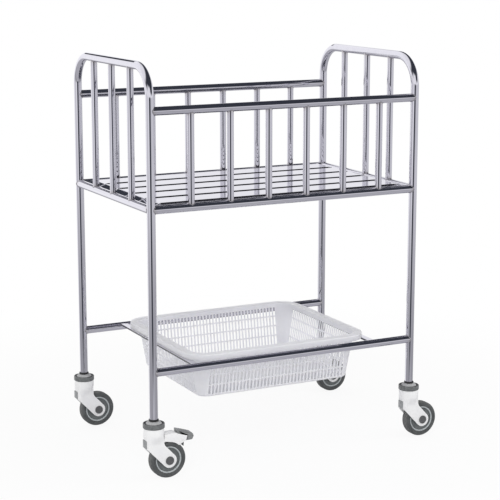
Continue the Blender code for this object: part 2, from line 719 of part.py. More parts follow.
def over_tyre(gap, angle):
    """Point at this gap from the tyre, at an angle up from the wheel's horizontal."""
    radius = WHEEL_RADIUS + gap
    return from_axle((radius * cos(angle), radius * sin(angle)))


def lever_underside():
    """Lever's lower edge: along the tyre from over the pin, then straight out to the tip."""
    edge = []
    for step in range(6):
        edge.append(over_tyre(LEVER_TYRE_GAP + step * LEVER_GAP_GROWTH, radians(100 - 9 * step)))
    return edge + [from_axle(LEVER_TIP)]


def lever_mesh():
    """Lever from its eye on the pin, up behind the fork's head and back over the tyre."""
    behind = HEAD_RADIUS + CAP_EDGE - BRAKE_PIN_U
    top = from_axle((0, LEVER_TOP)).y
    high = from_axle(LEVER_SEAT_HIGH)
    low = from_axle(LEVER_SEAT_LOW)
    root = LEVER_ROOT_RADIUS
    corners = [(-root, -root, root), (0, -root, 0)]
    corners += [(*point, 0) for point in lever_underside()]
    corners += [(*low, 0), (*high, 0), (high.x - 2 * LEVER_ROUND, top, LEVER_ROUND),
                (behind, top, LEVER_ROUND), (behind, root, 0), (-root, root, root)]
    body = prism("brake_lever", rounded(corners), "Y", -LEVER_WIDTH / 2, LEVER_WIDTH / 2)
    hole = cross_pin("lever_hole", 0, 0, BRAKE_PIN_RADIUS + RUN_GAP, LEVER_WIDTH)
    return combined(body, ("DIFFERENCE", hole))


def pedal_mesh():
    """Pad that lies along the lever's seat and folds down over its tip into a round nose."""
    high = from_axle(LEVER_SEAT_HIGH)
    low = from_axle(LEVER_SEAT_LOW)
    along = (low - high).normalized()
    lift = Vector((-along.y, along.x)) * WELD_GAP
    clear = Vector((WELD_GAP, 0))
    chin = from_axle(PEDAL_CHIN)
    fold = from_axle(LEVER_TIP) + clear
    corners = [(*(high + lift), 0), (*(low + lift + clear), 0), (*fold, 0), (fold.x, chin.y, 0),
               (*chin, PEDAL_ROUND), (*from_axle(PEDAL_NOSE), PEDAL_ROUND),
               (*from_axle(PEDAL_SHOULDER), PEDAL_ROUND), (*from_axle(PEDAL_TAIL), 0)]
    return prism("brake_pedal", rounded(corners), "Y", -PEDAL_WIDTH / 2, PEDAL_WIDTH / 2)


def shoe_mesh():
    """Flap under the lever's tip, with a face that follows the tyre."""
    turn = (SHOE_END - SHOE_START) / CORNER_STEPS
    face = [over_tyre(SHOE_TYRE_GAP, SHOE_START + step * turn) for step in range(CORNER_STEPS + 1)]
    inner, tip = lever_underside()[-2:]
    slope = (tip.y - inner.y) / (tip.x - inner.x)
    seat = []
    for x in (face[-1].x, tip.x - SHOE_OVERHANG):
        seat.append(Vector((x, inner.y + slope * (x - inner.x) - WELD_GAP)))
    return prism("brake_shoe", face + seat, "Y", -SHOE_WIDTH / 2, SHOE_WIDTH / 2)


def build_brake(finish, root):
    x, y = CORNERS["front_left"]
    pivot = (x + BRAKE_PIN_U, y, BRAKE_PIN_Z)
    pin = cross_pin("brake_pin", 0, 0, BRAKE_PIN_RADIUS, FORK_OUTER)
    place("brake_pin", pin, finish["axle"], root, pivot)
    place("brake_lever", lever_mesh(), finish["fork"], root, pivot)
    place("brake_pedal", pedal_mesh(), finish["cap"], root, pivot)
    place("brake_shoe", shoe_mesh(), finish["tyre"], root, pivot)


def main():
    clear_scene()
    root = bpy.data.objects.new("crib_root", None)
    root.location = (FRAME_SHIFT, 0, 0)
    bpy.context.scene.collection.objects.link(root)
    steel = make_material("polished_steel", (0.62, 0.61, 0.64), 0.12, 1.0)
    plastic = make_material("basket_plastic", (0.80, 0.80, 0.84), 0.35, 0.0)
    finish = {
        "cap": make_material("cap_grey_plastic", (0.16, 0.17, 0.17), 0.45, 0.0),
        "fork": make_material("fork_white_plastic", (0.82, 0.82, 0.82), 0.35, 0.0),
        "axle": make_material("axle_dark_cap", (0.07, 0.07, 0.07), 0.40, 0.0),
        "hub": make_material("hub_grey_plastic", (0.20, 0.22, 0.22), 0.45, 0.0),
        "tyre": make_material("tyre_grey_rubber", (0.11, 0.12, 0.12), 0.60, 0.0),
    }
    for side_name, side in (("left", -1), ("right", 1)):
        build_end(side_name, side, steel, root)
    for side_name, side in (("front", -1), ("rear", 1)):
        build_side(side_name, side, steel, root)
    build_bed(steel, root)
    build_runners(steel, root)
    build_basket(plastic, root)
    build_casters(finish, root)
    build_brake(finish, root)


main()
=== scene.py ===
"""Looks of the pediatric hospital crib: polished tube frame, slotted lift-out basket and four casters.

Metres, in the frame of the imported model. Lists of corners are in millimetres and multiplied by MM.
Every piece is worked out as arrays of points on a grid.
"""
from functools import partialmethod
from math import atan2, cos, pi, radians, sin, tan

import bmesh
import bpy
import numpy as np
from mathutils import Matrix, Vector


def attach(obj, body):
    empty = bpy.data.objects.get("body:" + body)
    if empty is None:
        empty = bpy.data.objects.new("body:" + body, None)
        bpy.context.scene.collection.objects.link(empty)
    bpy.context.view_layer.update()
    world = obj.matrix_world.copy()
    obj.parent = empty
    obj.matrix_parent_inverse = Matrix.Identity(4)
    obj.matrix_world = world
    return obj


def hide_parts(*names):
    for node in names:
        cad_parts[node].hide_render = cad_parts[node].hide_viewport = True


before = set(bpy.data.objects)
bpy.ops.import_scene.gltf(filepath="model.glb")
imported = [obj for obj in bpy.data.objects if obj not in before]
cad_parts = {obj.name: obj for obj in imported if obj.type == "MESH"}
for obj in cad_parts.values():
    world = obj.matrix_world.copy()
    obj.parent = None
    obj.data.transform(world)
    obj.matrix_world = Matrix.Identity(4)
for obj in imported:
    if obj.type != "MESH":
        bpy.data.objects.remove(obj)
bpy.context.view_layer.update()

MM = 0.001
SHARP_ANGLE = radians(35)
MIRROR = (1, -1)
X_AXIS, Y_AXIS, Z_AXIS = np.eye(3)

# Sizes of the frame
SHIFT_X = -0.0282696
HALF_X = 0.389
HALF_Y = 0.250
TOP_BEND_Z = 1.065
UPPER_RAIL_Z = 0.956
BED_RAIL_Z = 0.707
BASKET_RAIL_Z = 0.284
LEG_BOTTOM_Z = 0.1569393
TUBE = 0.011
TUBE_WALL = 0.0012
TUBE_SIDES = 48
BEND = 0.080
BAR = 0.009
BAR_WALL = 0.0010
GAP = 0.0003
RAIL_BEAD = 0.0012
BAR_BEAD = 0.0010
BEAD_STEPS = 72
BEAD_SIDES = 8
WELD_ROWS = np.array((0.0, 0.002, 0.005, 0.010, 0.018, 0.030))
HEAT_REACH = 0.005
RUNNER_X = 0.267
RUNNER_HALF_WIDTH = 0.010
RUNNER_TOP = 0.0085
RUNNER_THICKNESS = 0.005
RUNNER_EDGE = 0.0011
RUNNER_SIDE = 0.0004
SLAT_COUNT = 5
SLAT_PITCH = 0.0910
SLAT_WIDTH = 0.0760
SLAT_END_GAP = 0.0006
SLAT_TOP_Z = 0.7185
SLAT_FOOT_Z = 0.7045
SLAT_SHEET = 0.0010
SLAT_EDGE = 0.0035
SLAT_LEDGE = 0.0006
SLAT_REACH = 0.3777
SLAT_END_RUN = 0.021
SLAT_END_DROP = 0.008
SLAT_KINK = 0.0025
SLAT_NECK = 0.010
STITCH_RADIUS = 0.0011
STITCH_LENGTH = 0.022
STITCH_OFFSET = 0.024
STITCH_X = SLAT_REACH + 0.0006
STITCH_Z = 0.7101
STITCH_STEPS = 41

# Sizes of the basket
RIM_X = 0.271
RIM_Y = 0.235
RIM_WIDTH = 0.025
RIM_TOP_Z = 0.3088
RIM_ROUND = 0.0024
LIP_HEIGHT = 0.016
LIP_MIDDLE = 0.010
BASKET_DEPTH = 0.130
BASKET_TAPER = 0.020
BASKET_WALL = 0.0025
BASKET_SHEET = 0.0013
BASKET_CORNER = 0.038
WALL_START = 0.0035
FOOT_ROUND = 0.0095
# Rings of the floor: share of the foot's ring, and lift
FLOOR_RINGS = ((0.93, 0.0), (0.92, 0.0012), (0.60, 0.0014), (0.30, 0.0015), (0.0, 0.0015))
SLOT_PITCH = 0.0104
SLOT_HALF_WIDTH = 0.0030
SLOT_HALF_HEIGHT = 0.01225
SLOT_ROUND = 0.0014
SLOT_TOP = 0.01125
SLOT_ROW_PITCH = 0.028
SLOT_ROWS = 4
LONG_SLOTS = 40
SHORT_SLOTS = 32
BEND_COLUMNS = 14

# Sizes of the casters: u runs back along the trail, v across the wheel
WHEEL = 0.0490
AXLE_Z = 0.0490393
TRAIL = 0.036
CROWN_Z = 0.1133393
HEAD_TOP_Z = 0.1383393
HEAD = 0.0268
HEAD_BORE = 0.0083
CAP_BOTTOM_Z = 0.1386393
FORK_OUTER = 0.019
FORK_WALL = 0.0035
FORK_ROUNDING = (0.0009, 3)
EYE = 0.0195
LEG_ANGLE = radians(47)
REAR_EDGE = 0.021
REAR_FOOT_Z = 0.1120
NOTCH_HALF = 0.0108
NOTCH_TOP_Z = 0.1085
NOTCH_CORNER = 0.0042
KNEE_ROUND = 0.014
BLEND_TOP_Z = 0.1215
BLEND_FOOT_Z = 0.0930
BLEND_EDGE = 0.0030
FRONT_ARC = radians(30)
FORK_BEND = 2 * FORK_OUTER - HEAD
ARC_END = HEAD * FRONT_ARC
BEND_END = ARC_END + FORK_BEND * (pi / 2 - FRONT_ARC)
EDGE_STEPS = (5, 20, 26, 14)
DUST_TOP_Z = 0.075
DUST_RUN = 0.045
INSERT_HALF = 0.0102
INSERT_CORNER = 0.0036
INSERT_TOP_Z = 0.1079
INSERT_SHEET = 0.0026
INSERT_ROUNDING = (0.0007, 2)
CORNERS = {
    "front_left": (-HALF_X, -HALF_Y),
    "front_right": (HALF_X, -HALF_Y),
    "rear_left": (-HALF_X, HALF_Y),
    "rear_right": (HALF_X, HALF_Y),
}

# Sizes of the brake
TYRE_NOMINAL = 0.050
PIN_U = 0.013
PIN_Z = 0.1023393
LEVER_HALF = 0.0141
FLANGE_V = 0.01465
FLANGE_HALF = 0.00055
PAD_HALF = 0.014
PAD_RIB = 0.0006
SHOE_HALF = 0.008
SHOE_GAP = 0.0034

# Studio: floor, the point that lamps face, and the photo's camera
FLOOR_RADII = np.array((0.0, 0.6, 1.2, 1.9))
FLOOR_Z = -0.0004
LAMP_AIM = Vector((0, 0, 0.45))
AZIMUTH = radians(-26.96)
ELEVATION = radians(11.28)
AIM = np.array((0.0169 + SHIFT_X, 0.0, 0.5247))
DISTANCE = 4.3179
FOCAL_PIXELS = 1546.9
PHOTO_PIXELS = 500
SENSOR = 36.0


# Shader maths

class Shade:
    """A value that changes over a surface. Arithmetic on it adds Math nodes to its paint."""

    def __init__(self, paint, socket):
        self.paint = paint
        self.socket = socket

    def by(self, operation, other):
        return self.paint.node("Math", {0: self, 1: other}, operation=operation)

    def __rsub__(self, other):
        return self.paint.node("Math", {0: other, 1: self}, operation="SUBTRACT")

    __add__ = __radd__ = partialmethod(by, "ADD")
    __mul__ = __rmul__ = partialmethod(by, "MULTIPLY")
    __pow__ = partialmethod(by, "POWER")
    __truediv__ = partialmethod(by, "DIVIDE")

    def between(self, low, high):
        """Rises smoothly from 0 at low to 1 at high."""
        sockets = {"Value": self, "From Min": low, "From Max": high}
        return self.paint.node("MapRange", sockets, interpolation_type="SMOOTHSTEP")

    def below(self, low, high):
        """Falls smoothly from 1 at low to 0 at high."""
        return 1.0 - self.between(low, high)

    def within(self, low, full, fade, high):
        """1 from full to fade, falling smoothly to 0 at low and at high."""
        return self.between(low, full) * self.below(fade, high)


class Paint:
    """Node tree of one finish."""

    def __init__(self, tree):
        self.tree = tree
        self.tree.nodes.clear()

    def node(self, kind, sockets, output=0, **settings):
        """Add a node: settings first, then the values or links of its sockets."""
        made = self.tree.nodes.new("ShaderNode" + kind)
        for name, value in settings.items():
            setattr(made, name, value)
        for name, value in sockets.items():
            if isinstance(value, Shade):
                self.tree.links.new(value.socket, made.inputs[name])
            else:
                made.inputs[name].default_value = value
        return Shade(self, made.outputs[output]) if made.outputs else None

    def mix(self, share, first, second):
        """Colour between first and second, each a Shade or its red, green and blue."""
        ends = [end if isinstance(end, Shade) else (*end, 1) for end in (first, second)]
        return self.node("Mix", {0: share, 6: ends[0], 7: ends[1]}, 2, data_type="RGBA")

    def coordinates(self, kind="Object"):
        return self.node("TexCoord", {}, kind)

    def ray(self, kind):
        """1 where the surface is met by a ray of that kind."""
        return self.node("LightPath", {}, f"Is {kind} Ray")

    def stretched(self, scale):
        """Object coordinates, drawn out along the axes where scale is small."""
        return self.node("Mapping", {"Vector": self.coordinates(), "Scale": scale})

    def noise(self, scale, detail, vector=None):
        """Cloudy pattern from about 0.3 to 0.7."""
        sockets = {"Vector": vector or self.coordinates(), "Scale": scale, "Detail": detail}
        return self.node("TexNoise", sockets)

    def wear_and_shade(self):
        """The share that each point of a piece carries: weld heat, handling and dust, and on runner edges and
        slat folds painted shade.
        """
        return self.node("Attribute", {}, "Fac", attribute_name="wear_and_shade")

    def bump(self, height, depth):
        return self.node("Bump", {"Height": height, "Distance": depth, "Strength": 1.0})


def new_material(name):
    """Material and the paint of its empty node tree."""
    material = bpy.data.materials.new(name)
    material.use_nodes = True
    return material, Paint(material.node_tree)


def finished(name, recipe, **constants):
    """Material whose recipe(paint) gives the changing sockets of its main shader."""
    material, paint = new_material(name)
    sockets = recipe(paint)
    sockets.update({key.replace("_", " ").title(): value for key, value in constants.items()})
    shader = paint.node("BsdfPrincipled", sockets)
    paint.node("OutputMaterial", {"Surface": shader})
    return material


def polished_steel(grain, worn=(0.40, 0.36, 0.32), share=0.6, swell=0.0):
    """Mirror-polished metal: drawn polish marks, smudges from hands, a worn tint beside welds, and on
    thin sheet a slow swell that bends what it mirrors. A near-black worn tone paints shade instead on
    edges and folds."""
    def recipe(paint):
        marks = paint.noise(1.0, 5.0, paint.stretched(grain))
        smudge = paint.noise(17.0, 4.0)
        heat = paint.wear_and_shade()
        tone = paint.mix(marks.between(0.35, 0.65), (0.60, 0.59, 0.65), (0.68, 0.675, 0.72))
        tone = paint.mix(heat * share, tone, worn)
        rough = 0.015 + 0.035 * marks + 0.04 * smudge.between(0.5, 0.72) + 0.14 * heat
        sheet = paint.noise(1.0, 1.0, paint.stretched((9.0, 26.0, 9.0)))
        relief = paint.bump(0.000002 * marks + swell * sheet, 1.0)
        return {"Base Color": tone, "Roughness": rough, "Normal": relief}
    return recipe


def weld_metal(paint):
    """Cleaned weld bead: duller than the tube, darker in its ripples."""
    mottle = paint.noise(420.0, 3.0)
    tone = paint.mix(mottle.between(0.35, 0.65), (0.34, 0.33, 0.34), (0.58, 0.57, 0.60))
    return {"Base Color": tone, "Roughness": 0.22 + 0.2 * mottle, "Normal": paint.bump(mottle, 0.00008)}


def moulded(tones, cloud, grain, mark, rough, flow=None, worn=True):
    """Moulded plastic or rubber: clouds between two tones, marks of a third, and a fine grain in relief.
    grain is (scale, detail, depth) and mark (scale, detail, low, high, share); rough is the roughness,
    and what clouds and marks add to it. flow scales the clouds along each axis, and worn marks follow
    the piece's wear."""
    def recipe(paint):
        clouds = paint.noise(cloud, 4.0, flow and paint.stretched(flow))
        marks = paint.noise(*mark[:2]).between(*mark[2:4])
        if worn:
            marks = paint.wear_and_shade() * marks
        tone = paint.mix(clouds.between(0.3, 0.7), tones[0], tones[1])
        tone = paint.mix(marks * mark[4], tone, tones[2])
        roughness = rough[0] + rough[1] * clouds + rough[2] * marks
        relief = paint.bump(paint.noise(*grain[:2]), grain[2])
        return {"Base Color": tone, "Roughness": roughness, "Normal": relief}
    return recipe


def grey_plastic(dark, light):
    """Grey plastic with a leathery grain, paler where shoes and hands rub it."""
    rubbed = tuple(min(1.0, 1.6 * part) for part in light)
    return moulded((dark, light, rubbed), 70.0, (1300.0, 3.0, 0.00004), (240.0, 5.0, 0.3, 0.7, 0.45),
                   (0.36, 0.16, -0.08))


# Milky plastic with flow marks and scuffs; white nylon and grey rubber with dust
BASKET_PLASTIC = moulded(((0.83, 0.83, 0.895), (0.88, 0.88, 0.935), (0.76, 0.76, 0.79)), 1.0,
                         (1500.0, 2.0, 0.00002), (60.0, 6.0, 0.60, 0.70, 0.25), (0.28, 0.10, 0.14),
                         (9.0, 9.0, 26.0), False)
FORK_PLASTIC = moulded(((0.87, 0.87, 0.88), (0.90, 0.90, 0.90), (0.55, 0.54, 0.52)), 38.0,
                       (1900.0, 2.0, 0.000025), (150.0, 5.0, 0.35, 0.7, 0.30), (0.30, 0.12, 0.25))
TYRE_RUBBER = moulded(((0.070, 0.075, 0.076), (0.100, 0.105, 0.106), (0.24, 0.235, 0.225)), 55.0,
                      (900.0, 4.0, 0.00005), (120.0, 6.0, 0.3, 0.65, 0.4), (0.46, 0.2, 0.15))
LONG, CROSS, UPRIGHT = (4.0, 700.0, 700.0), (700.0, 4.0, 700.0), (700.0, 700.0, 4.0)
# Near-black worn tone: painted shade on runner edges and slat folds
PAINTED_SHADE_EDGE = ((0.035, 0.035, 0.04), 0.92)
METALS = {
    "steel_x": ("polished_steel_long", polished_steel(LONG)),
    "steel_y": ("polished_steel_cross", polished_steel(CROSS)),
    "steel_z": ("polished_steel_upright", polished_steel(UPRIGHT)),
    "runner": ("runner_steel", polished_steel(CROSS, *PAINTED_SHADE_EDGE)),
    "slat": ("slat_steel", polished_steel(LONG, *PAINTED_SHADE_EDGE, 0.00012)),
    "weld": ("weld_metal", weld_metal),
}
GREYS = {
    "cap": ("cap_grey_plastic", (0.108, 0.114, 0.116), (0.140, 0.146, 0.148)),
    "insert": ("insert_grey_plastic", (0.27, 0.28, 0.285), (0.32, 0.33, 0.335)),
    "pedal": ("pedal_grey_plastic", (0.180, 0.186, 0.188), (0.225, 0.231, 0.233)),
    "axle": ("axle_dark_plastic", (0.080, 0.081, 0.083), (0.116, 0.117, 0.120)),
    "neck": ("neck_grey_plastic", (0.37, 0.375, 0.38), (0.44, 0.445, 0.45)),
    # Near black: painted shade in the cap's recess and round the leg's foot
    "shade_rings": ("shade_rings_black", (0.009, 0.009, 0.011), (0.016, 0.016, 0.018)),
    "hub": ("hub_dark_plastic", (0.124, 0.136, 0.138), (0.160, 0.172, 0.174)),
    "ring": ("hub_ring_plastic", (0.42, 0.45, 0.46), (0.48, 0.51, 0.52)),
}
FINISHES = {key: finished(name, recipe, metallic=1.0) for key, (name, recipe) in METALS.items()}
FINISHES.update({key: finished(name, grey_plastic(*tones)) for key, (name, *tones) in GREYS.items()})
FINISHES["basket"] = finished("basket_plastic", BASKET_PLASTIC, subsurface_weight=0.6,
                              subsurface_radius=(1.0, 1.0, 1.1), subsurface_scale=0.008)
FINISHES["fork"] = finished("fork_white_plastic", FORK_PLASTIC)
FINISHES["tyre"] = finished("tyre_grey_rubber", TYRE_RUBBER)


# Meshes

def grid_faces(rows, columns, close_rows=False, close_columns=False):
    """Quads between neighbours of a grid of points, joined round in either direction if closed."""
    down = np.arange(rows if close_rows else rows - 1)[:, None]
    along = np.arange(columns if close_columns else columns - 1)[None, :]
    here, below = down * columns, (down + 1) % rows * columns
    after = (along + 1) % columns
    return np.stack((here + along, here + after, below + after, below + along), axis=-1).reshape(-1, 4)


def unit(vector):
    return vector / np.linalg.norm(vector, axis=-1, keepdims=True)


def around(count):
    """Angles of even steps round a circle."""
    return np.linspace(0, 2 * pi, count, endpoint=False)


def quarter_turn(count):
    return np.linspace(0, pi / 2, count)


def swing(angles, first, second):
    """cos(angle) first + sin(angle) second, for each angle."""
    return np.cos(angles)[:, None] * np.asarray(first) + np.sin(angles)[:, None] * np.asarray(second)


def smooth_step(value):
    share = np.clip(value, 0, 1)
    return share * share * (3 - 2 * share)


def shell(points, faces, wear_and_shade=0.0):
    """One surface: points of shape (n, 3), faces, and the share of each point for wear and painted shade."""
    flat = np.asarray(points, float).reshape(-1, 3)
    return flat, faces, np.broadcast_to(np.asarray(wear_and_shade, float), flat.shape[:1])


def smoothed(mesh):
    """The mesh with smooth shading, but for edges sharper than SHARP_ANGLE."""
    mesh.shade_smooth()
    mesh.set_sharp_from_angle(angle=SHARP_ANGLE)
    return mesh


def joined_mesh(name, shells, outward=True):
    """Mesh of several shells, with doubled points merged."""
    starts = np.cumsum([0] + [len(part[0]) for part in shells])
    faces = []
    for start, (_, part_faces, _) in zip(starts, shells):
        for block in part_faces if isinstance(part_faces, list) else [part_faces]:
            faces += (np.asarray(block) + start).tolist()
    mesh = bpy.data.meshes.new(name)
    mesh.from_pydata(np.concatenate([part[0] for part in shells]).tolist(), [], faces)
    wear_and_shade = mesh.attributes.new("wear_and_shade", "FLOAT", "POINT")
    wear_and_shade.data.foreach_set("value", np.concatenate([part[2] for part in shells]).astype(np.float32))
    form = bmesh.new()
    form.from_mesh(mesh)
    bmesh.ops.remove_doubles(form, verts=form.verts, dist=2e-7)
    bmesh.ops.dissolve_degenerate(form, edges=form.edges, dist=1e-8)
    loose = [vertex for vertex in form.verts if not vertex.link_faces]
    bmesh.ops.delete(form, geom=loose, context="VERTS")
    if outward:
        bmesh.ops.recalc_face_normals(form, faces=form.faces)
    form.to_mesh(mesh)
    form.free()
    return smoothed(mesh)


def added(name, data):
    """New object of the data, linked to the scene."""
    item = bpy.data.objects.new(name, data)
    bpy.context.scene.collection.objects.link(item)
    return item


def thickened(mesh, thickness, offset=-1.0, even=True, rounding=None):
    """Mesh of a sheet given its thickness, then its sharp edges rounded by (width, segments)."""
    holder = added("holder", mesh)
    solid = holder.modifiers.new("solid", "SOLIDIFY")
    solid.thickness = thickness
    solid.offset = offset
    solid.use_even_offset = even
    if rounding:
        bevel = holder.modifiers.new("bevel", "BEVEL")
        bevel.width, bevel.segments = rounding
        bevel.limit_method = "ANGLE"
        bevel.angle_limit = radians(50)
    made = bpy.data.meshes.new_from_object(holder.evaluated_get(bpy.context.evaluated_depsgraph_get()))
    bpy.data.objects.remove(holder, do_unlink=True)
    return smoothed(made)


def place(name, mesh, finish, body, slot, *nodes, at=(0.0, 0.0, 0.0)):
    """Put a copy of the mesh in the scene at its place, riding its body in place of the named nodes."""
    own = mesh.copy()
    own.transform(Matrix.Translation((at[0] + SHIFT_X, at[1], at[2])))
    own.materials.clear()
    own.materials.append(FINISHES[finish])
    piece = added(name, own)
    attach(piece, body)
    if nodes:
        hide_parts(*nodes)


def filleted(corners, steps=6, closed=True):
    """Outline through (a, b, radius) corners; each radius is drawn as an arc touching both sides."""
    outline = []
    count = len(corners)
    for index, (a, b, radius) in enumerate(corners):
        here = np.array((a, b))
        if radius == 0 or not closed and index in (0, count - 1):
            outline.append(here[None])
            continue
        before = unit(np.array(corners[index - 1][:2]) - here)
        after = unit(np.array(corners[(index + 1) % count][:2]) - here)
        half = np.arccos(np.clip(before @ after, -1, 1)) / 2
        centre = here + unit(before + after) * (radius / sin(half))
        first = here + before * (radius / tan(half)) - centre
        last = here + after * (radius / tan(half)) - centre
        turn = atan2(first[0] * last[1] - first[1] * last[0], first @ last)
        side = np.array((-first[1], first[0]))
        outline.append(centre + swing(np.linspace(0, turn, steps + 1), first, side))
    return np.concatenate(outline)


def resampled(line, count):
    """Count points at equal steps along a polyline."""
    line = np.asarray(line, float)
    steps = np.linalg.norm(np.diff(line, axis=0), axis=1)
    travel = np.concatenate(([0], np.cumsum(steps)))
    wanted = np.linspace(0, travel[-1], count)
    return np.stack([np.interp(wanted, travel, values) for values in line.T], axis=1)


def turned(profile, axis, wear_and_shade, sides, closed):
    """Surface of revolution: point(i, a) = r_i (cos a, sin a) across the axis + h_i along it."""
    profile = np.asarray(profile, float)
    round_way = swing(around(sides), X_AXIS, Y_AXIS if axis is Z_AXIS else Z_AXIS)
    points = profile[:, None, :1] * round_way + profile[:, None, 1:] * axis
    shares = np.repeat(np.broadcast_to(wear_and_shade, len(profile)), sides)
    return shell(points, grid_faces(len(profile), sides, closed, True), shares)


def turned_mesh(name, profile, axis, wear_and_shade=0.0, sides=96, closed=True):
    return joined_mesh(name, [turned(profile, axis, wear_and_shade, sides, closed)])


def outline_mm(corners, steps, closed=False):
    """Filleted outline of corners given in millimetres."""
    return filleted(MM * np.array(corners), steps, closed)


def slab(outline, low, high, edge, wear_and_shade=0.0, steps=4):
    """Outline in (x, z) carried along y from low to high; its ends shrink by a quarter round of edge."""
    outline = np.asarray(outline, float)
    outline = outline[np.linalg.norm(outline - np.roll(outline, 1, axis=0), axis=1) > 2e-5]
    following = np.roll(outline, -1, axis=0)
    ahead = unit((following - outline)[:, ::-1] * MIRROR)
    area = np.sum(outline[:, 0] * following[:, 1] - outline[:, 1] * following[:, 0])
    normal = unit(ahead + np.roll(ahead, 1, axis=0)) * np.sign(area)
    angles = quarter_turn(steps + 1)
    shrink = edge * np.concatenate((1 - np.sin(angles), 1 - np.sin(angles[::-1])))
    inset = edge * (1 - np.cos(angles))
    travel = np.concatenate((low + inset, high - inset[::-1]))
    flat = outline[None] - shrink[:, None, None] * normal[None]
    points = np.stack(np.broadcast_arrays(flat[..., 0], travel[:, None], flat[..., 1]), axis=-1)
    rows, columns = flat.shape[:2]
    caps = np.arange(columns)
    faces = [grid_faces(rows, columns, False, True), caps[None], ((rows - 1) * columns + caps)[None]]
    return shell(points, faces, wear_and_shade)


# Frame

def reach(offsets, direction, copes):
    """Distance from a joint at which each surface line stops: sqrt((R + gap)^2 - d^2), d the line's
    distance from the crossing axis. A cope with a side counts only for lines on that side."""
    far = np.zeros(len(offsets))
    for axis, radius, side in copes:
        passing = offsets @ np.cross(direction, axis)
        meets = np.sqrt(np.maximum((radius + GAP) ** 2 - passing ** 2, 0))
        if side is not None:
            meets = np.where(offsets @ side > 0, meets, 0)
        far = np.maximum(far, meets)
    return far


def round_section(direction, radius, sides):
    """Points of a circle across direction."""
    across = X_AXIS if abs(direction[2]) > 0.5 else np.cross(direction, Z_AXIS)
    return radius * swing(around(sides), across, np.cross(direction, across))


def coped_rows(start, end, offsets, copes, steps):
    """Rows of a bar's surface lines, at steps inwards from its two coped ends."""
    length = np.linalg.norm(end - start)
    direction = (end - start) / length
    near = reach(offsets, direction, copes)
    far = length - reach(offsets, -direction, copes)
    along = np.concatenate((near + steps[:, None], far - steps[::-1, None]))
    return start + offsets + along[..., None] * direction


def coped_tube(start, end, radius, wall, copes):
    """Hollow tube: rows run along the outside, then back through the bore. Each row keeps the shape of
    the coped end; the wear share is the weld's heat, exp(-distance / HEAT_REACH)."""
    direction = unit(end - start)
    outer, inner = (round_section(direction, size, TUBE_SIDES) for size in (radius, radius - wall))
    skin = coped_rows(start, end, outer, copes, WELD_ROWS)
    bore = coped_rows(start, end, inner, copes, np.zeros(1))
    points = np.concatenate((skin, bore[::-1]))
    heat = np.exp(-WELD_ROWS / HEAT_REACH)
    shares = np.concatenate((heat, heat[::-1], (0, 0)))
    return shell(points, grid_faces(len(points), TUBE_SIDES, True, True), np.repeat(shares, TUBE_SIDES))


def weld_bead(joint, direction, radius, copes, bead):
    """Rippled ring of weld metal along the joint curve: a round section of bead (1 + ripple) carried
    along joint + offset + reach * direction."""
    offsets = round_section(direction, radius, BEAD_STEPS)
    curve = joint + offsets + reach(offsets, direction, copes)[:, None] * direction
    tangent = unit(np.roll(curve, -1, axis=0) - np.roll(curve, 1, axis=0))
    outward = offsets / radius
    outward = unit(outward - np.sum(outward * tangent, axis=1, keepdims=True) * tangent)
    ring = swing(around(BEAD_SIDES), outward[:, None], np.cross(tangent, outward)[:, None])
    ripple = bead * (1 + 0.16 * np.cos(np.arange(BEAD_STEPS) * pi / 2))
    points = curve[:, None] + ripple[:, None, None] * ring
    return shell(points, grid_faces(BEAD_STEPS, BEAD_SIDES, True, True))


def bent_frame(x):
    """Tube carried along an inverted U in the Y-Z plane: leg, quarter bend, top, quarter bend, leg.
    Rows run foot to foot along the outside, then back through the bore. The way outwards is the way to
    the same U a metre further out."""
    def path(grow):
        y, z, bend = HALF_Y + grow, TOP_BEND_Z + grow, BEND + grow
        corners = [(-y, LEG_BOTTOM_Z, 0), (-y, z, bend), (y, z, bend), (y, LEG_BOTTOM_Z, 0)]
        flat = filleted(corners, 24, closed=False)
        return np.insert(flat, 0, x, axis=1)[:, None]

    centre = path(0.0)
    ring = swing(around(TUBE_SIDES), X_AXIS, path(1.0) - centre)
    skin, bore = (centre + radius * ring for radius in (TUBE, TUBE - TUBE_WALL))
    points = np.concatenate((skin, bore[::-1]))
    return shell(points, grid_faces(len(points), TUBE_SIDES, True, True))


def spread(count, span):
    """Places that divide a span, measured from its middle, into count + 1 even parts."""
    return span * ((np.arange(count) + 1) / (count + 1) - 0.5)


def runner_strip(x):
    """Flat strip across the basket rails: a rounded rectangle carried along y between the coped ends.
    Its narrow sides carry full painted shade, near black: the dark line along the strip's edge."""
    half, low, high = RUNNER_HALF_WIDTH, RUNNER_TOP - RUNNER_THICKNESS, RUNNER_TOP
    corners = ((half, low), (half, high), (-half, high), (-half, low))
    section = filleted([(*corner, RUNNER_EDGE) for corner in corners], 4)
    offsets = np.stack((section[:, 0], np.zeros(len(section)), section[:, 1]), 1)
    ends = np.array(((x, -HALF_Y, BASKET_RAIL_Z), (x, HALF_Y, BASKET_RAIL_Z)))
    points = coped_rows(*ends, offsets, [(X_AXIS, TUBE, None)], WELD_ROWS)
    middle = np.broadcast_to(points.mean(axis=1, keepdims=True), points.shape)
    points = np.concatenate((middle[:1], points, middle[-1:]))
    # Painted shade: full on the strip's narrow sides, near black through the worn tone
    edge = (np.abs(section[:, 0]) > half - RUNNER_SIDE).astype(float)
    return shell(points, grid_faces(len(points), len(section), False, True), np.tile(edge, len(points)))


def slat_drop(x):
    """How far a slat's top has come down at x: a straight slope past its flat run, its kink rounded by
    the parabola slope (t + b)^2 / 4b within b of it."""
    slope = SLAT_END_DROP / SLAT_END_RUN
    past = np.abs(x) - (SLAT_REACH - SLAT_END_RUN)
    rounded = slope * (past + SLAT_KINK) ** 2 / (4 * SLAT_KINK)
    return np.where(past > SLAT_KINK, slope * past, np.where(past < -SLAT_KINK, 0.0, rounded))


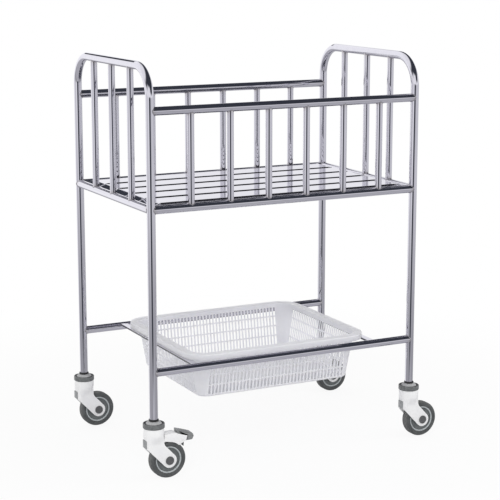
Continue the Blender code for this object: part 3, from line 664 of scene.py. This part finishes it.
def slat_mesh():
    """Folded channel, open below: a round-edged section carried along x, widened by a smooth step to the
    ends and let down there, then given the sheet's thickness inwards. Its folds carry full painted shade,
    near black, and its sides less, fading out where it widens: the dark lines between the slats."""
    flat = SLAT_REACH - SLAT_END_RUN
    turn = quarter_turn(9)
    wall_top = SLAT_TOP_Z - SLAT_EDGE
    inset = np.concatenate(([0, 0], SLAT_EDGE * (1 - np.cos(turn)), [SLAT_EDGE + SLAT_LEDGE]))
    rise = wall_top + SLAT_EDGE * np.sin(turn)
    level = np.concatenate(([SLAT_FOOT_Z, wall_top - SLAT_LEDGE], rise, [SLAT_TOP_Z]))
    tilt = np.concatenate(([pi / 2, pi / 2], pi / 2 - turn, [0]))
    neck = flat - SLAT_NECK + np.linspace(-0.001, SLAT_NECK + 0.003, 19)
    steps = np.concatenate((neck, [SLAT_REACH - SLAT_LEDGE, SLAT_REACH]))
    x = np.concatenate((-steps[::-1], steps))
    widened = smooth_step((np.abs(x) - flat + SLAT_NECK) / SLAT_NECK)
    half = (SLAT_WIDTH + widened * (SLAT_PITCH - SLAT_END_GAP - SLAT_WIDTH)) / 2
    side = half[:, None] - inset[None]
    y = np.concatenate((-side, side[:, ::-1]), axis=1)
    z = np.maximum(np.concatenate((level, level[::-1]))[None] - slat_drop(x)[:, None], SLAT_FOOT_Z)
    # Painted shade on the folds, less on the sides, fading where the slat widens
    dark = smooth_step((tilt - radians(2)) / radians(20)) * (1 - 0.6 * (tilt > 1.5))
    dark = np.concatenate((dark, dark[::-1])) * (1 - widened)[:, None]
    points = np.stack(np.broadcast_arrays(x[:, None], y, z), -1)
    sheet = shell(points, grid_faces(*y.shape)[:, ::-1], dark.ravel())
    return thickened(joined_mesh("slat", [sheet], outward=False), SLAT_SHEET)


def stitch_bead(x, y):
    """Short run of weld between a slat's end and the end rail: a round section carried along y, its
    radius rippled and closing to nothing at both ends."""
    share = np.linspace(0, 1, STITCH_STEPS)
    radius = STITCH_RADIUS * (1 - (2 * share - 1) ** 6) * (1 + 0.14 * np.cos(share * 2 * pi * 9))
    centre = np.stack(np.broadcast_arrays(x, y + STITCH_LENGTH * (share - 0.5), STITCH_Z), 1)
    points = centre[:, None] + radius[:, None, None] * swing(around(BEAD_SIDES), X_AXIS, Z_AXIS)
    return shell(points, grid_faces(STITCH_STEPS, BEAD_SIDES, False, True))


def build_frame():
    """All tubes of the frame, its runners and slats, and the weld beads round their joints."""
    beads = []
    leg = [(Z_AXIS, TUBE, None)]

    def tube(name, start, end, copes, finish, radius=TUBE, wall=TUBE_WALL, bead=RAIL_BEAD):
        start, end = np.array(start), np.array(end)
        mesh = joined_mesh(name, [coped_tube(start, end, radius, wall, copes)])
        place(name + "_tube", mesh, finish, "frame", "steel", name)
        way = unit(end - start)
        beads.append(weld_bead(start, way, radius, copes, bead))
        beads.append(weld_bead(end, -way, radius, copes, bead))

    def bars(name, count, foot, head, span, crossing):
        """Upright bars from foot to head, spread along the crossing axis over span."""
        for number, step in enumerate(spread(count, span), start=1):
            tube(f"{name}_{number}", foot + step * crossing, head + step * crossing, [(crossing, TUBE, None)],
                 "steel_z", BAR, BAR_WALL, BAR_BEAD)

    for side_name, side in (("left", -1), ("right", 1)):
        x = side * HALF_X
        name = f"{side_name}_end_frame"
        place(name + "_tube", joined_mesh(name, [bent_frame(x)]), "steel_z", "frame", "steel", name)
        tube(f"{side_name}_end_rail", (x, -HALF_Y, BED_RAIL_Z), (x, HALF_Y, BED_RAIL_Z),
             leg + [(X_AXIS, TUBE, -side * X_AXIS)], "steel_y")
        bars(f"{side_name}_end_bar", 3, (x, 0, BED_RAIL_Z), (x, 0, TOP_BEND_Z), 2 * HALF_Y, Y_AXIS)
        name = f"{side_name}_basket_runner"
        strip = joined_mesh(name, [runner_strip(side * RUNNER_X)])
        place(name + "_strip", strip, "runner", "frame", "steel", name)
    for side_name, side in (("front", -1), ("rear", 1)):
        y = side * HALF_Y
        for level, z in (("upper", UPPER_RAIL_Z), ("lower", BED_RAIL_Z), ("basket", BASKET_RAIL_Z)):
            tube(f"{side_name}_{level}_rail", (-HALF_X, y, z), (HALF_X, y, z), leg, "steel_x")
        bars(f"{side_name}_bar", 6, (0, y, BED_RAIL_Z), (0, y, UPPER_RAIL_Z), 2 * HALF_X, X_AXIS)
    slat = slat_mesh()
    for number in range(1, SLAT_COUNT + 1):
        name = f"bed_slat_{number}"
        y = SLAT_PITCH * (number - (SLAT_COUNT + 1) / 2)
        place(name + "_sheet", slat, "slat", "frame", "steel", name, at=(0, y, 0))
        for end in (-STITCH_X, STITCH_X):
            beads += [stitch_bead(end, y - STITCH_OFFSET), stitch_bead(end, y + STITCH_OFFSET)]
    place("weld_beads", joined_mesh("weld_beads", beads), "weld", "frame", "steel")


# Basket

def wall_columns(count):
    """Columns of a wall with count slots, three for each, as travel from the wall's middle."""
    edges = (np.arange(count) - count / 2) * SLOT_PITCH
    inner = SLOT_PITCH / 2 - SLOT_HALF_WIDTH + SLOT_ROUND
    return np.stack((edges, edges + inner, edges + SLOT_PITCH - inner), 1).ravel()


def on_wall(travel, half_x, half_y, corner, rear):
    """Point (x, y) at a travel from the middle of the rear wall, or else of the right wall: straight at
    first, then round the corner's quarter circle, then straight along the next wall."""
    half, flat = (half_y, half_x - corner) if rear else (half_x, half_y - corner)
    far = np.abs(travel) - flat
    angle = np.clip(far / corner, 0, pi / 2)
    way = np.sign(travel) * (np.minimum(np.abs(travel), flat) + corner * np.sin(angle))
    out = half - corner * (1 - np.cos(angle)) - np.maximum(far - corner * pi / 2, 0)
    return np.stack((way, out) if rear else (out, -way), -1)


def basket_ring(half_x, half_y, corner, z):
    """Closed ring at one level: the walls' columns, and even steps along the way that is left from one
    wall to the next."""
    sizes = half_x, half_y, corner
    whole = half_x + half_y - 2 * corner + corner * pi / 2
    ends = LONG_SLOTS * SLOT_PITCH / 2, whole - SHORT_SLOTS * SLOT_PITCH / 2
    bend = on_wall(np.linspace(*ends, BEND_COLUMNS + 1), *sizes, True)
    rear = on_wall(wall_columns(LONG_SLOTS), *sizes, True)
    right = on_wall(wall_columns(SHORT_SLOTS), *sizes, False)
    half = np.concatenate((rear, bend[:-1], right, bend[:0:-1] * MIRROR))
    return np.insert(np.concatenate((half, -half)), 2, z, axis=1)


def wall_place(depth):
    """Half sizes and corner radius of the wall's middle surface at a depth below the rim's top."""
    lean = BASKET_TAPER * depth / BASKET_DEPTH - BASKET_WALL / 2
    return RIM_X - RIM_WIDTH - lean, RIM_Y - RIM_WIDTH - lean, BASKET_CORNER - lean / 2


def basket_rings(depths):
    """Rings from the lip over the rim, down the walls at the depths, round the foot and in to the centre
    of the floor, and the number of rings before the first depth."""
    def level(sizes, tuck, drop):
        return basket_ring(*(np.array(sizes) - tuck), RIM_TOP_Z - drop)

    middle = BASKET_WALL / 2
    rim = (RIM_X, RIM_Y, BASKET_CORNER + RIM_WIDTH)
    turn = quarter_turn(6)
    near, far = RIM_ROUND * (1 - np.cos(turn)), RIM_ROUND * (1 - np.sin(turn))
    rings = [level(rim, middle, drop) for drop in (LIP_HEIGHT, LIP_MIDDLE)]
    rings += [level(rim, middle + tuck, middle + drop) for tuck, drop in zip(near, far)]
    rings += [level(wall_place(WALL_START), -spare, middle + drop) for spare, drop in zip(far, near)]
    before = len(rings)
    rings += [level(wall_place(depth), 0, depth) for depth in depths]
    foot = depths[-1]
    tucks = FOOT_ROUND * (1 - np.cos(turn[1:]))
    drops = foot + (BASKET_DEPTH - middle - foot) * np.sin(turn[1:])
    rings += [level(wall_place(foot), tuck, drop) for tuck, drop in zip(tucks, drops)]
    edge = rings[-1]
    rings += [edge * (share, share, 1) + (0, 0, lift) for share, lift in FLOOR_RINGS]
    return np.array(rings), before


def basket_sheet():
    """Middle surface of the tub, as a grid of rings. In the walls, each cell of three by three columns
    and levels is a band of twelve quads round one slot with rounded corners."""
    inner = SLOT_ROW_PITCH / 2 - SLOT_HALF_HEIGHT + SLOT_ROUND
    tops = SLOT_TOP + np.arange(SLOT_ROWS) * SLOT_ROW_PITCH
    depths = np.stack((tops, tops + inner, tops + SLOT_ROW_PITCH - inner), 1).ravel()
    depths = np.concatenate((depths, [SLOT_TOP + SLOT_ROWS * SLOT_ROW_PITCH]))
    points, first_level = basket_rings(depths)
    rows, columns = points.shape[:2]
    faces = grid_faces(rows, columns, False, True).reshape(rows - 1, columns, 4)

    # The band round a slot: (level, column) steps of its outer loop, and its inner loop in the cell
    loop = np.array(((0, 1), (0, 2), (0, 3), (1, 3), (2, 3), (3, 3),
                     (3, 2), (3, 1), (3, 0), (2, 0), (1, 0), (0, 0)))
    signs = ((-1, -1), (1, -1), (1, 1), (-1, 1))
    slot_corners = [(x * SLOT_HALF_WIDTH, z * SLOT_HALF_HEIGHT, SLOT_ROUND) for x, z in signs]
    inner_loop = np.roll(filleted(slot_corners, 2), -2, axis=0)
    solid = np.ones((rows - 1, columns), bool)
    bands, extra = [], []
    total, start = rows * columns, 0
    for number, count in enumerate((LONG_SLOTS, SHORT_SLOTS) * 2):
        solid[first_level:first_level + 3 * SLOT_ROWS, start:start + 3 * count] = False
        row, slot = (grid.reshape(-1, 1) for grid in np.mgrid[:SLOT_ROWS, :count])
        level = first_level + 3 * row + loop[:, 0]
        outside = level * columns + (start + 3 * slot + loop[:, 1]) % columns
        along = (slot + 0.5 - count / 2) * SLOT_PITCH + inner_loop[:, 0]
        depth = SLOT_TOP + (row + 0.5) * SLOT_ROW_PITCH + inner_loop[:, 1]
        flat = on_wall(along, *wall_place(depth), number % 2 == 0) * (1 if number < 2 else -1)
        extra.append(np.concatenate((flat, RIM_TOP_Z - depth[..., None]), -1).reshape(-1, 3))
        inside = total + np.arange(outside.size).reshape(outside.shape)
        band = (outside, np.roll(outside, -1, axis=1), np.roll(inside, -1, axis=1), inside)
        bands.append(np.stack(band, axis=-1).reshape(-1, 4))
        total += outside.size
        start += 3 * count + BEND_COLUMNS
    return shell(np.concatenate([points.reshape(-1, 3)] + extra), [faces[solid]] + bands)


def build_basket():
    sheet = joined_mesh("basket_sheet", [basket_sheet()])
    tub = thickened(sheet, BASKET_SHEET, 0.0)
    place("slotted_basket", tub, "basket", "basket", "basket_plastic", "basket")


# Casters

def leg_lines():
    """Centre of the eye round the axle, and the ends on it of the fork leg's lower and upper edges."""
    lower = np.array((-sin(LEG_ANGLE), -cos(LEG_ANGLE)))
    eye = np.array((TRAIL, AXLE_Z))
    return eye, eye + EYE * lower, eye - EYE * lower


def from_front(angle):
    """Direction in plan at an angle from the fork's front."""
    return np.stack((-np.cos(angle), np.sin(angle)), -1)


def plan_curve(travel):
    """Fork wall seen from above, by arc length from the front: an arc of the head's radius, a tighter
    arc, then a straight side at v = half the fork's width."""
    bend = FRONT_ARC + np.clip(travel - ARC_END, 0, BEND_END - ARC_END) / FORK_BEND
    on_front = HEAD * from_front(np.minimum(travel, ARC_END) / HEAD)
    on_bend = (HEAD - FORK_BEND) * from_front(FRONT_ARC) + FORK_BEND * from_front(bend)
    on_bend[..., 0] += np.maximum(travel - BEND_END, 0)
    return np.where((travel <= ARC_END)[..., None], on_front, on_bend)


def travel_at(u):
    """Arc length along the fork's wall at which its straight side reaches u."""
    return BEND_END + u + cos(FRONT_ARC) * (HEAD - FORK_BEND)


def lower_edge_z(travel):
    """Height of the leg's lower edge, drawn on along the fork's wall, by arc length."""
    low_end = leg_lines()[1]
    return low_end[1] + tan(LEG_ANGLE) * (low_end[0] - plan_curve(travel)[..., 0])


def on_fork(travel, z):
    """Fork wall at (arc length, height): the plan curve, blended into the head's circle near its top."""
    rear_angle = pi - np.arccos(REAR_EDGE / HEAD)
    ring = HEAD * from_front(np.minimum(travel / travel_at(REAR_EDGE), 1.0) * rear_angle)
    share = smooth_step((z - BLEND_FOOT_Z) / (BLEND_TOP_Z - BLEND_FOOT_Z))[..., None]
    flat = (1 - share) * plan_curve(travel) + share * ring
    return np.concatenate((flat, z[..., None]), axis=-1)


def fork_half(side):
    """One half of the fork's wall, ruled between its front edge (notch, lower edge of the leg, eye) and
    its rear edge (upright edge, fillet, upper edge of the leg, eye) in unrolled coordinates. Its wear is
    dust, more towards the floor."""
    eye, low_end, high_end = leg_lines()
    down = np.array((cos(LEG_ANGLE), -sin(LEG_ANGLE)))

    def edge(*lines):
        """Lines drawn on from each other, each in its even steps."""
        parts = [resampled(line, count) for line, count in zip(lines, EDGE_STEPS)]
        return np.concatenate(parts[:1] + [part[1:] for part in parts[1:]])

    def eye_edge(start):
        ring = eye + swing(quarter_turn(14), start - eye, EYE * down)
        return np.stack((travel_at(ring[:, 0]), ring[:, 1]), 1)

    lower_way = np.linspace(NOTCH_HALF, travel_at(low_end[0]), 60)
    lower_edge = np.stack((lower_way, lower_edge_z(lower_way)), 1)
    notch = [(0, NOTCH_TOP_Z, 0), (NOTCH_HALF, NOTCH_TOP_Z, NOTCH_CORNER), (*lower_edge[0], 0)]
    rear, split = travel_at(REAR_EDGE), BLEND_TOP_Z - BLEND_EDGE
    knee_z = high_end[1] + tan(LEG_ANGLE) * (high_end[0] - REAR_EDGE)
    knee = [(rear, REAR_FOOT_Z, 0), (rear, knee_z, KNEE_ROUND), (travel_at(high_end[0]), high_end[1], 0)]
    front = edge([(0, BLEND_TOP_Z), (0, NOTCH_TOP_Z)], filleted(notch, 6, False),
                 lower_edge, eye_edge(low_end))
    back = edge([(rear, BLEND_TOP_Z), (rear, split)], [(rear, split), (rear, REAR_FOOT_Z)],
                filleted(knee, 8, False), eye_edge(high_end))
    share = np.linspace(0, 1, 25)[None, :, None]
    unrolled = front[:, None] * (1 - share) + back[:, None] * share
    points = on_fork(unrolled[..., 0], unrolled[..., 1])
    points[..., 1] *= side
    faces = grid_faces(*points.shape[:2])
    dust = np.clip((DUST_TOP_Z - points[..., 2]) / DUST_RUN, 0, 1).ravel()
    return shell(points, faces[:, ::-1] if side < 0 else faces, dust)


def fork_mesh():
    """Fork wall thickened inwards with soft edges, under a turned head."""
    wall = joined_mesh("fork_wall", [fork_half(1), fork_half(-1)], outward=False)
    wall = thickened(wall, FORK_WALL, rounding=FORK_ROUNDING)
    inner, foot = HEAD - FORK_WALL - 0.0002, CROWN_Z - 0.002
    head = [(HEAD_BORE, foot), (inner, foot), (inner, BLEND_TOP_Z), (HEAD, BLEND_TOP_Z),
            (HEAD, HEAD_TOP_Z - 0.0012), (HEAD - 0.0004, HEAD_TOP_Z - 0.0004),
            (HEAD - 0.0012, HEAD_TOP_Z), (HEAD_BORE, HEAD_TOP_Z)]
    form = bmesh.new()
    form.from_mesh(wall)
    form.from_mesh(turned_mesh("fork_head", head, Z_AXIS))
    both = bpy.data.meshes.new("fork")
    form.to_mesh(both)
    form.free()
    return smoothed(both)


def insert_mesh():
    """Grey plate in the fork's front notch: a patch of the fork's front, set back and thickened."""
    across = np.linspace(-INSERT_HALF, INSERT_HALF, 25)[None, :]
    share = np.linspace(0, 1, 17)[:, None]
    foot = lower_edge_z(np.abs(across)) + 0.0008
    past = np.clip((np.abs(across) - INSERT_HALF + INSERT_CORNER) / INSERT_CORNER, 0, 1)
    top = INSERT_TOP_Z - INSERT_CORNER * (1 - np.sqrt(1 - past ** 2))
    z = top + share * (foot - top)
    radius = HEAD - 0.0005 - 0.0006 * (np.abs(across) / INSERT_HALF) ** 6
    flat = np.broadcast_to(radius[..., None] * from_front(across / HEAD), (*z.shape, 2))
    points = np.concatenate((flat, z[..., None]), axis=-1)
    sheet = joined_mesh("insert", [shell(points, grid_faces(*z.shape)[:, ::-1], 0.3)], outward=False)
    return thickened(sheet, INSERT_SHEET, even=False, rounding=INSERT_ROUNDING)


def cap_mesh():
    """Swivel cap: round-edged band with a recessed top, the plug in the leg, and the king pin with its
    nut below. The band is rubbed."""
    band = outline_mm([(8, 0, 0), (28.5, 0, 1.8), (28.5, 5.8, 0.3), (28, 6.2, 0.3), (28.5, 6.6, 0.3),
                       (28.5, 12.6, 1.6), (26.4, 12.6, 0.4), (26, 9.6, 0.3), (9.4, 9.6, 0)], 6)
    plug = MM * np.array([(9, 9.6), (9, 58), (0, 58)])
    nut = MM * np.array([(0, -4.3), (12, -4.3), (12, -0.3), (8, -0.3)])
    profile = np.concatenate((nut + (0, CROWN_Z), np.concatenate((band, plug)) + (0, CAP_BOTTOM_Z)))
    rub = np.clip((profile[:, 0] - 0.024) / 0.004, 0, 1)
    return turned_mesh("cap", profile, Z_AXIS, rub, closed=False)


def neck_mesh():
    """Grey cone that stands in the cap's recess and carries the leg's foot."""
    profile = outline_mm([(9.5, 9.9, 0), (20.6, 9.9, 0.3), (20.6, 12.4, 0.6), (17.2, 16.8, 1.4),
                          (13.2, 18, 0.4), (9.5, 18, 0)], 6, True)
    return turned_mesh("neck", profile + (0, CAP_BOTTOM_Z), Z_AXIS, 0.3)


def shade_rings_mesh():
    """Painted shade: a near-black flat washer in the cap's recess, and a near-black ring round the leg's
    foot, where those gaps lie in shade.
    """
    washer = [(20.9, 9.9, 0), (25.7, 9.9, 0), (25.7, 11.4, 0.5), (20.9, 11.4, 0.5)]
    collar = [(11.3, 18.4, 0), (12.8, 18.4, 0.3), (13.6, 19.8, 0.5), (12.8, 22.8, 1), (11.3, 23.3, 0.3)]
    profiles = [outline_mm(corners, 5, True) + (0, CAP_BOTTOM_Z) for corners in (washer, collar)]
    return joined_mesh("shade_rings", [turned(profile, Z_AXIS, 0.0, 72, True) for profile in profiles])


def axle_mesh():
    """Axle with a domed dark cap on each side of the fork."""
    seat = (FORK_OUTER + GAP) / MM
    half = outline_mm([(6, 0, 0), (6, seat, 0), (11.5, seat, 0.3), (11.5, seat + 2, 0.8), (9, seat + 2, 0.2),
                       (8.6, seat + 1.4, 0.2), (0, seat + 1.6, 0)], 4)
    profile = np.concatenate((half[:0:-1] * MIRROR, half[1:]))
    return turned_mesh("axle", profile, Y_AXIS, 0.2, 64, False)


def hub_mesh():
    """Wheel core: boss, dished web and the seat under the tyre."""
    half = outline_mm([(6.3, 15.1, 0), (12, 15.1, 0.8), (14, 8.5, 2), (18, 7, 3), (30, 7.8, 2),
                       (31.2, 10, 0), (31.9, 10, 0)], 5)
    return turned_mesh("hub", np.concatenate((half, half[::-1] * MIRROR)), Y_AXIS, 0.1)


def ring_mesh():
    """Pale rim ring of the core, standing just proud of the web on both sides."""
    half = outline_mm([(32, 0, 0), (32, 10.8, 0.6), (33.8, 12.4, 1.4), (35.7, 11.9, 0.4), (35.7, 0, 0)], 5)
    return turned_mesh("ring", np.concatenate((half[:-1], half[:0:-1] * MIRROR)), Y_AXIS, 0.2)


def tyre_mesh():
    """Soft tyre: flat tread, round shoulders, and a shallow groove on each sidewall. Dust on the tread."""
    tread = WHEEL / MM
    half = outline_mm([(36, 11.6, 0), (39, 12.8, 1), (40, 12.4, 0.5), (40.8, 13.1, 0.6), (44, 13.5, 4),
                       (tread, 9.8, 4.5), (tread, 0, 0)], 6)
    profile = np.concatenate((half, half[-2::-1] * MIRROR))
    dust = np.clip((profile[:, 0] - 0.046) / 0.0025, 0, 1)
    return turned_mesh("tyre", profile, Y_AXIS, dust, 112)


def build_casters():
    fork, insert, cap, axle = fork_mesh(), insert_mesh(), cap_mesh(), axle_mesh()
    neck, shade_rings = neck_mesh(), shade_rings_mesh()
    hub, ring, tyre = hub_mesh(), ring_mesh(), tyre_mesh()
    for corner, (x, y) in CORNERS.items():
        leg, wheel = (x, y, 0), (x + TRAIL, y, AXLE_Z)
        swivel, roller = f"{corner}_swivel", f"{corner}_wheel"
        place(f"{corner}_swivel_cap", cap, "cap", "frame", "cap_plastic", f"{corner}_caster_stem", at=leg)
        place(f"{corner}_cap_neck", neck, "neck", "frame", "cap_plastic", at=leg)
        place(f"{corner}_leg_shade_rings", shade_rings, "shade_rings", "frame", "tyre_rubber", at=leg)
        place(f"{corner}_fork_shell", fork, "fork", swivel, "fork_plastic", f"{corner}_fork", at=leg)
        place(f"{corner}_fork_insert", insert, "insert", swivel, "cap_plastic", at=leg)
        place(f"{corner}_axle_caps", axle, "axle", swivel, "axle_plastic", f"{corner}_axle", at=wheel)
        place(f"{corner}_wheel_core", hub, "hub", roller, "hub_plastic", f"{corner}_hub", at=wheel)
        place(f"{corner}_wheel_ring", ring, "ring", roller, "hub_plastic", at=wheel)
        place(f"{corner}_wheel_tyre", tyre, "tyre", roller, "tyre_rubber", f"{corner}_tyre", at=wheel)


# Brake: outlines in (u, z) from the front left axle

def over_tyre(gap, first, last, count):
    """Points at a gap outside the tyre's nominal radius, from the first to the last angle in degrees."""
    angles = np.radians(np.linspace(first, last, count))
    radius = TYRE_NOMINAL + np.broadcast_to(gap, count)
    return radius[:, None] * swing(angles, (1, 0), (0, 1))


def sharp(points):
    """Corners without a radius."""
    return [(*point, 0) for point in points]


def build_brake():
    """Lever with two flanges beside the tyre, the pedal's ribbed pad on it, its shoe and its pivot."""
    x, y = CORNERS["front_left"]
    axle = (x + TRAIL, y, AXLE_Z)
    pin_u, pin_z = PIN_U - TRAIL, PIN_Z - AXLE_Z
    root, behind, top = 0.0052, 0.0240 - TRAIL, 0.0705
    high, low, tip = (0.0267, 0.0675), (0.0525, 0.0592), (0.0490, 0.0475)
    under = over_tyre(0.0020 + 0.0004 * np.linspace(0, 5, 16), 100, 55, 16)
    head = [(pin_u - root, pin_z - root, root), (pin_u, pin_z - root, 0)]
    tail = [(*tip, 0.001), (*low, 0), (*high, 0), (high[0] - 0.006, top, 0.003), (behind, top, 0.003),
            (behind, pin_z + root, 0.002), (pin_u - root, pin_z + root, root)]
    middle = filleted(head + sharp(under) + tail, 5)
    flange = over_tyre(np.linspace(-0.0010, -0.0035, 16), 88, 52, 16)
    skirt = [(*flange[0], 0.001)] + sharp(flange[1:-1]) + [(*flange[-1], 0.001)]
    side = filleted(head + sharp(under[:1]) + skirt + tail, 5)
    lever = [slab(middle, -LEVER_HALF, LEVER_HALF, 0.0002, 0.1)]
    for way in (-1, 1):
        lever.append(slab(side, way * FLANGE_V - FLANGE_HALF, way * FLANGE_V + FLANGE_HALF, 0.0004, 0.1))
    arm = joined_mesh("lever", lever)
    place("brake_lever_arm", arm, "fork", "brake", "fork_plastic", "brake_lever", at=axle)

    run = unit(np.subtract(low, high))
    raise_by = np.array((-run[1], run[0])) * GAP
    heel, shoulder = np.array((0.0255, 0.0785)), np.array((0.0680, 0.0645))
    share = np.linspace(0, 1, 61)[1:-1]
    way = unit(shoulder - heel)
    ribs = PAD_RIB * np.maximum(0, np.cos(share * 2 * pi * 9)) * smooth_step((share - 0.25) * 8)
    ribs = ribs * smooth_step((0.9 - share) * 10) - PAD_RIB
    ribbed = heel + share[:, None] * (shoulder - heel) + ribs[:, None] * (-way[1], way[0])
    corners = [(*(high + raise_by), 0.0006), (*(low + raise_by + (GAP, 0)), 0), (tip[0] + GAP, tip[1], 0),
               (tip[0] + GAP, 0.0460, 0.0006), (0.0670, 0.0460, 0.004), (0.0720, 0.0555, 0.005),
               (*shoulder, 0.005), *sharp(ribbed[-4:3:-1]), (*heel, 0.002)]
    pad = joined_mesh("pad", [slab(filleted(corners, 6), -PAD_HALF, PAD_HALF, 0.0022, 0.5, 5)])
    place("brake_pedal_pad", pad, "pedal", "brake", "cap_plastic", "brake_pedal", at=axle)

    face = over_tyre(SHOE_GAP, 34, 50, 10)
    end = under[-1]
    slope = (tip[1] - end[1]) / (tip[0] - end[0])
    seat = [(at, end[1] + slope * (at - end[0]) - GAP) for at in (face[-1][0], tip[0] - 0.003)]
    shoe = joined_mesh("shoe", [slab(np.concatenate((face, seat)), -SHOE_HALF, SHOE_HALF, 0.0005, 0.2)])
    place("brake_shoe_pad", shoe, "tyre", "brake", "tyre_rubber", "brake_shoe", at=axle)

    half = MM * np.array([(3, 15), (2.8, 15.2), (0, 15.2)])
    rod = turned_mesh("rod", np.concatenate((half[::-1] * MIRROR, half)), Y_AXIS, 0.0, 32, False)
    place("brake_pivot_rod", rod, "axle", "front_left_swivel", "axle_plastic", "brake_pin",
          at=(x + PIN_U, y, PIN_Z))


# Studio

def build_camera():
    """The photo's camera, standing off from its aim, its lens worked out from a focal length in pixels."""
    back = np.array((sin(AZIMUTH) * cos(ELEVATION), -cos(AZIMUTH) * cos(ELEVATION), sin(ELEVATION)))
    right = np.array((cos(AZIMUTH), sin(AZIMUTH), 0.0))
    columns = np.stack((right, np.cross(back, right), back, AIM + DISTANCE * back), 1)
    lens = bpy.data.cameras.new("camera")
    lens.sensor_width = SENSOR
    lens.lens = FOCAL_PIXELS / PHOTO_PIXELS * SENSOR
    lens.clip_end = 50.0
    camera = added("camera", lens)
    camera.matrix_world = Matrix((*columns.tolist(), (0, 0, 0, 1)))
    bpy.context.scene.camera = camera


def build_world():
    """Camera and clear rays see white, and matt surfaces a soft sky. Polished metal mirrors a room: grey
    floor, pale walls with a paler strip, greyer low on the far side, a dark ceiling broken by two panels,
    a skylight and a soft box, a dark opening in the far wall, and a dark end behind the camera."""
    world = bpy.data.worlds.new("studio")
    world.use_nodes = True
    bpy.context.scene.world = world
    paint = Paint(world.node_tree)
    direction = paint.coordinates("Generated")

    def toward(*vector):
        return paint.node("VectorMath", {0: direction, 1: vector}, "Value", operation="DOT_PRODUCT")

    height = toward(0.0, 0.0, 1.0)
    level = (1.0 - height * height) ** 0.5 + 0.001
    facing = toward(sin(AZIMUTH), -cos(AZIMUTH), 0.0) / level
    side = toward(cos(AZIMUTH), sin(AZIMUTH), 0.0) / level
    across = toward(1.0, 0.0, 0.0) / level
    near = facing.between(0.0, 0.1)
    panel = toward(-0.33, 0.908, 0.259).between(0.70, 0.85)
    low_panel = toward(0.445, 0.874, 0.19).between(0.962, 0.984)
    skylight = toward(-0.45, 0.45, 0.77).between(0.66, 0.85)
    soft_box = facing.between(0.78, 0.92) * height.below(0.45, 0.65)
    strip = side.within(-0.80, -0.62, -0.36, -0.30) * near
    far_wall = (0.0 - facing).between(0.45, 0.95) * height.below(-0.06, 0.06)
    opening = across.within(-0.22, -0.12, 0.26, 0.34) * (1.0 - near) * height.within(0.30, 0.34, 0.40, 0.44)
    room_end = side.within(-0.35, -0.12, 0.22, 0.70) * near * height.within(-0.30, -0.24, -0.02, 0.10)
    ceiling = (height + 0.16 * side.between(0.45, 0.75) * near).between(0.19, 0.43)
    for pale in (panel, low_panel, soft_box, skylight):
        ceiling = ceiling * (1.0 - pale)
    dark = 1.0 - (1.0 - ceiling) * (1.0 - room_end) * (1.0 - opening)
    ground = paint.mix(side.within(-0.25, 0.05, 0.45, 0.80) * near, (0.46, 0.46, 0.48), (0.68, 0.68, 0.71))
    ground = paint.mix(height.between(-0.50, -0.32), (0.57, 0.57, 0.60), ground)
    room = paint.mix(strip, (0.80, 0.80, 0.83), (1.05, 1.05, 1.08))
    room = paint.mix(far_wall, room, (0.60, 0.60, 0.63))
    room = paint.mix(height.between(-0.26, -0.12), ground, room)
    room = paint.mix(height.between(-0.02, 0.06), room, (1.08, 1.08, 1.10))
    room = paint.mix(low_panel, room, (1.0, 1.0, 1.03))
    room = paint.mix(panel, room, (1.2, 1.2, 1.22))
    room = paint.mix(dark, room, (0.048, 0.053, 0.068))
    soft = paint.mix(height.between(0.20, 0.42), (1.0, 1.0, 1.0), (0.70, 0.70, 0.70))
    plain = paint.mix(paint.ray("Glossy"), soft, room)
    seen = paint.ray("Camera")
    shown = paint.mix(seen.by("MAXIMUM", paint.ray("Transmission")), plain, (1, 1, 1))
    sky = paint.node("Background", {"Color": shown})
    paint.node("OutputWorld", {"Surface": sky})


def build_lamp(name, at, size, power):
    """Round lamp turned to the middle of the crib. Mirrors do not show it."""
    data = bpy.data.lights.new(name, "AREA")
    data.shape = "DISK"
    data.size = size
    data.energy = power
    lamp = added(name, data)
    lamp.location = at
    lamp.rotation_euler = (LAMP_AIM - Vector(at)).to_track_quat("-Z", "Y").to_euler()
    lamp.visible_glossy = False


def build_floor():
    """White disc under the wheels: to the camera it glows, fully so towards its edge, and takes a light
    shadow; to other rays it is matt grey."""
    disc = FLOOR_RADII[:, None, None] * swing(around(96), X_AXIS, Y_AXIS) + (0, 0, FLOOR_Z)
    faces = grid_faces(*disc.shape[:2], False, True)[:, ::-1]
    mesh = joined_mesh("ground", [shell(disc, faces)], outward=False)
    material, paint = new_material("white_floor")
    seen = paint.ray("Camera")
    tone = paint.mix(paint.noise(3.0, 3.0), (0.64, 0.64, 0.65), (0.70, 0.70, 0.71))
    tone = paint.mix(seen, tone, (0.90, 0.90, 0.90))
    matt = paint.node("BsdfDiffuse", {"Color": tone})
    glow = paint.node("Emission", {"Color": (1, 1, 1, 1), "Strength": 1.0})
    radius = paint.node("VectorMath", {0: paint.coordinates()}, "Value", operation="LENGTH")
    share = seen * (0.90 + 0.10 * radius.between(0.7, 1.7))
    surface = paint.node("MixShader", {0: share, 1: matt, 2: glow})
    paint.node("OutputMaterial", {"Surface": surface})
    mesh.materials.append(material)
    floor = added("studio_floor", mesh)
    floor.visible_glossy = False


bpy.context.scene.view_settings.view_transform = "Standard"
build_frame()
build_basket()
build_casters()
build_brake()
build_camera()
build_world()
build_lamp("key", (-2.2, -2.8, 2.2), 2.4, 45.0)
build_lamp("fill", (2.8, -1.6, 1.6), 2.0, 20.0)
build_floor()
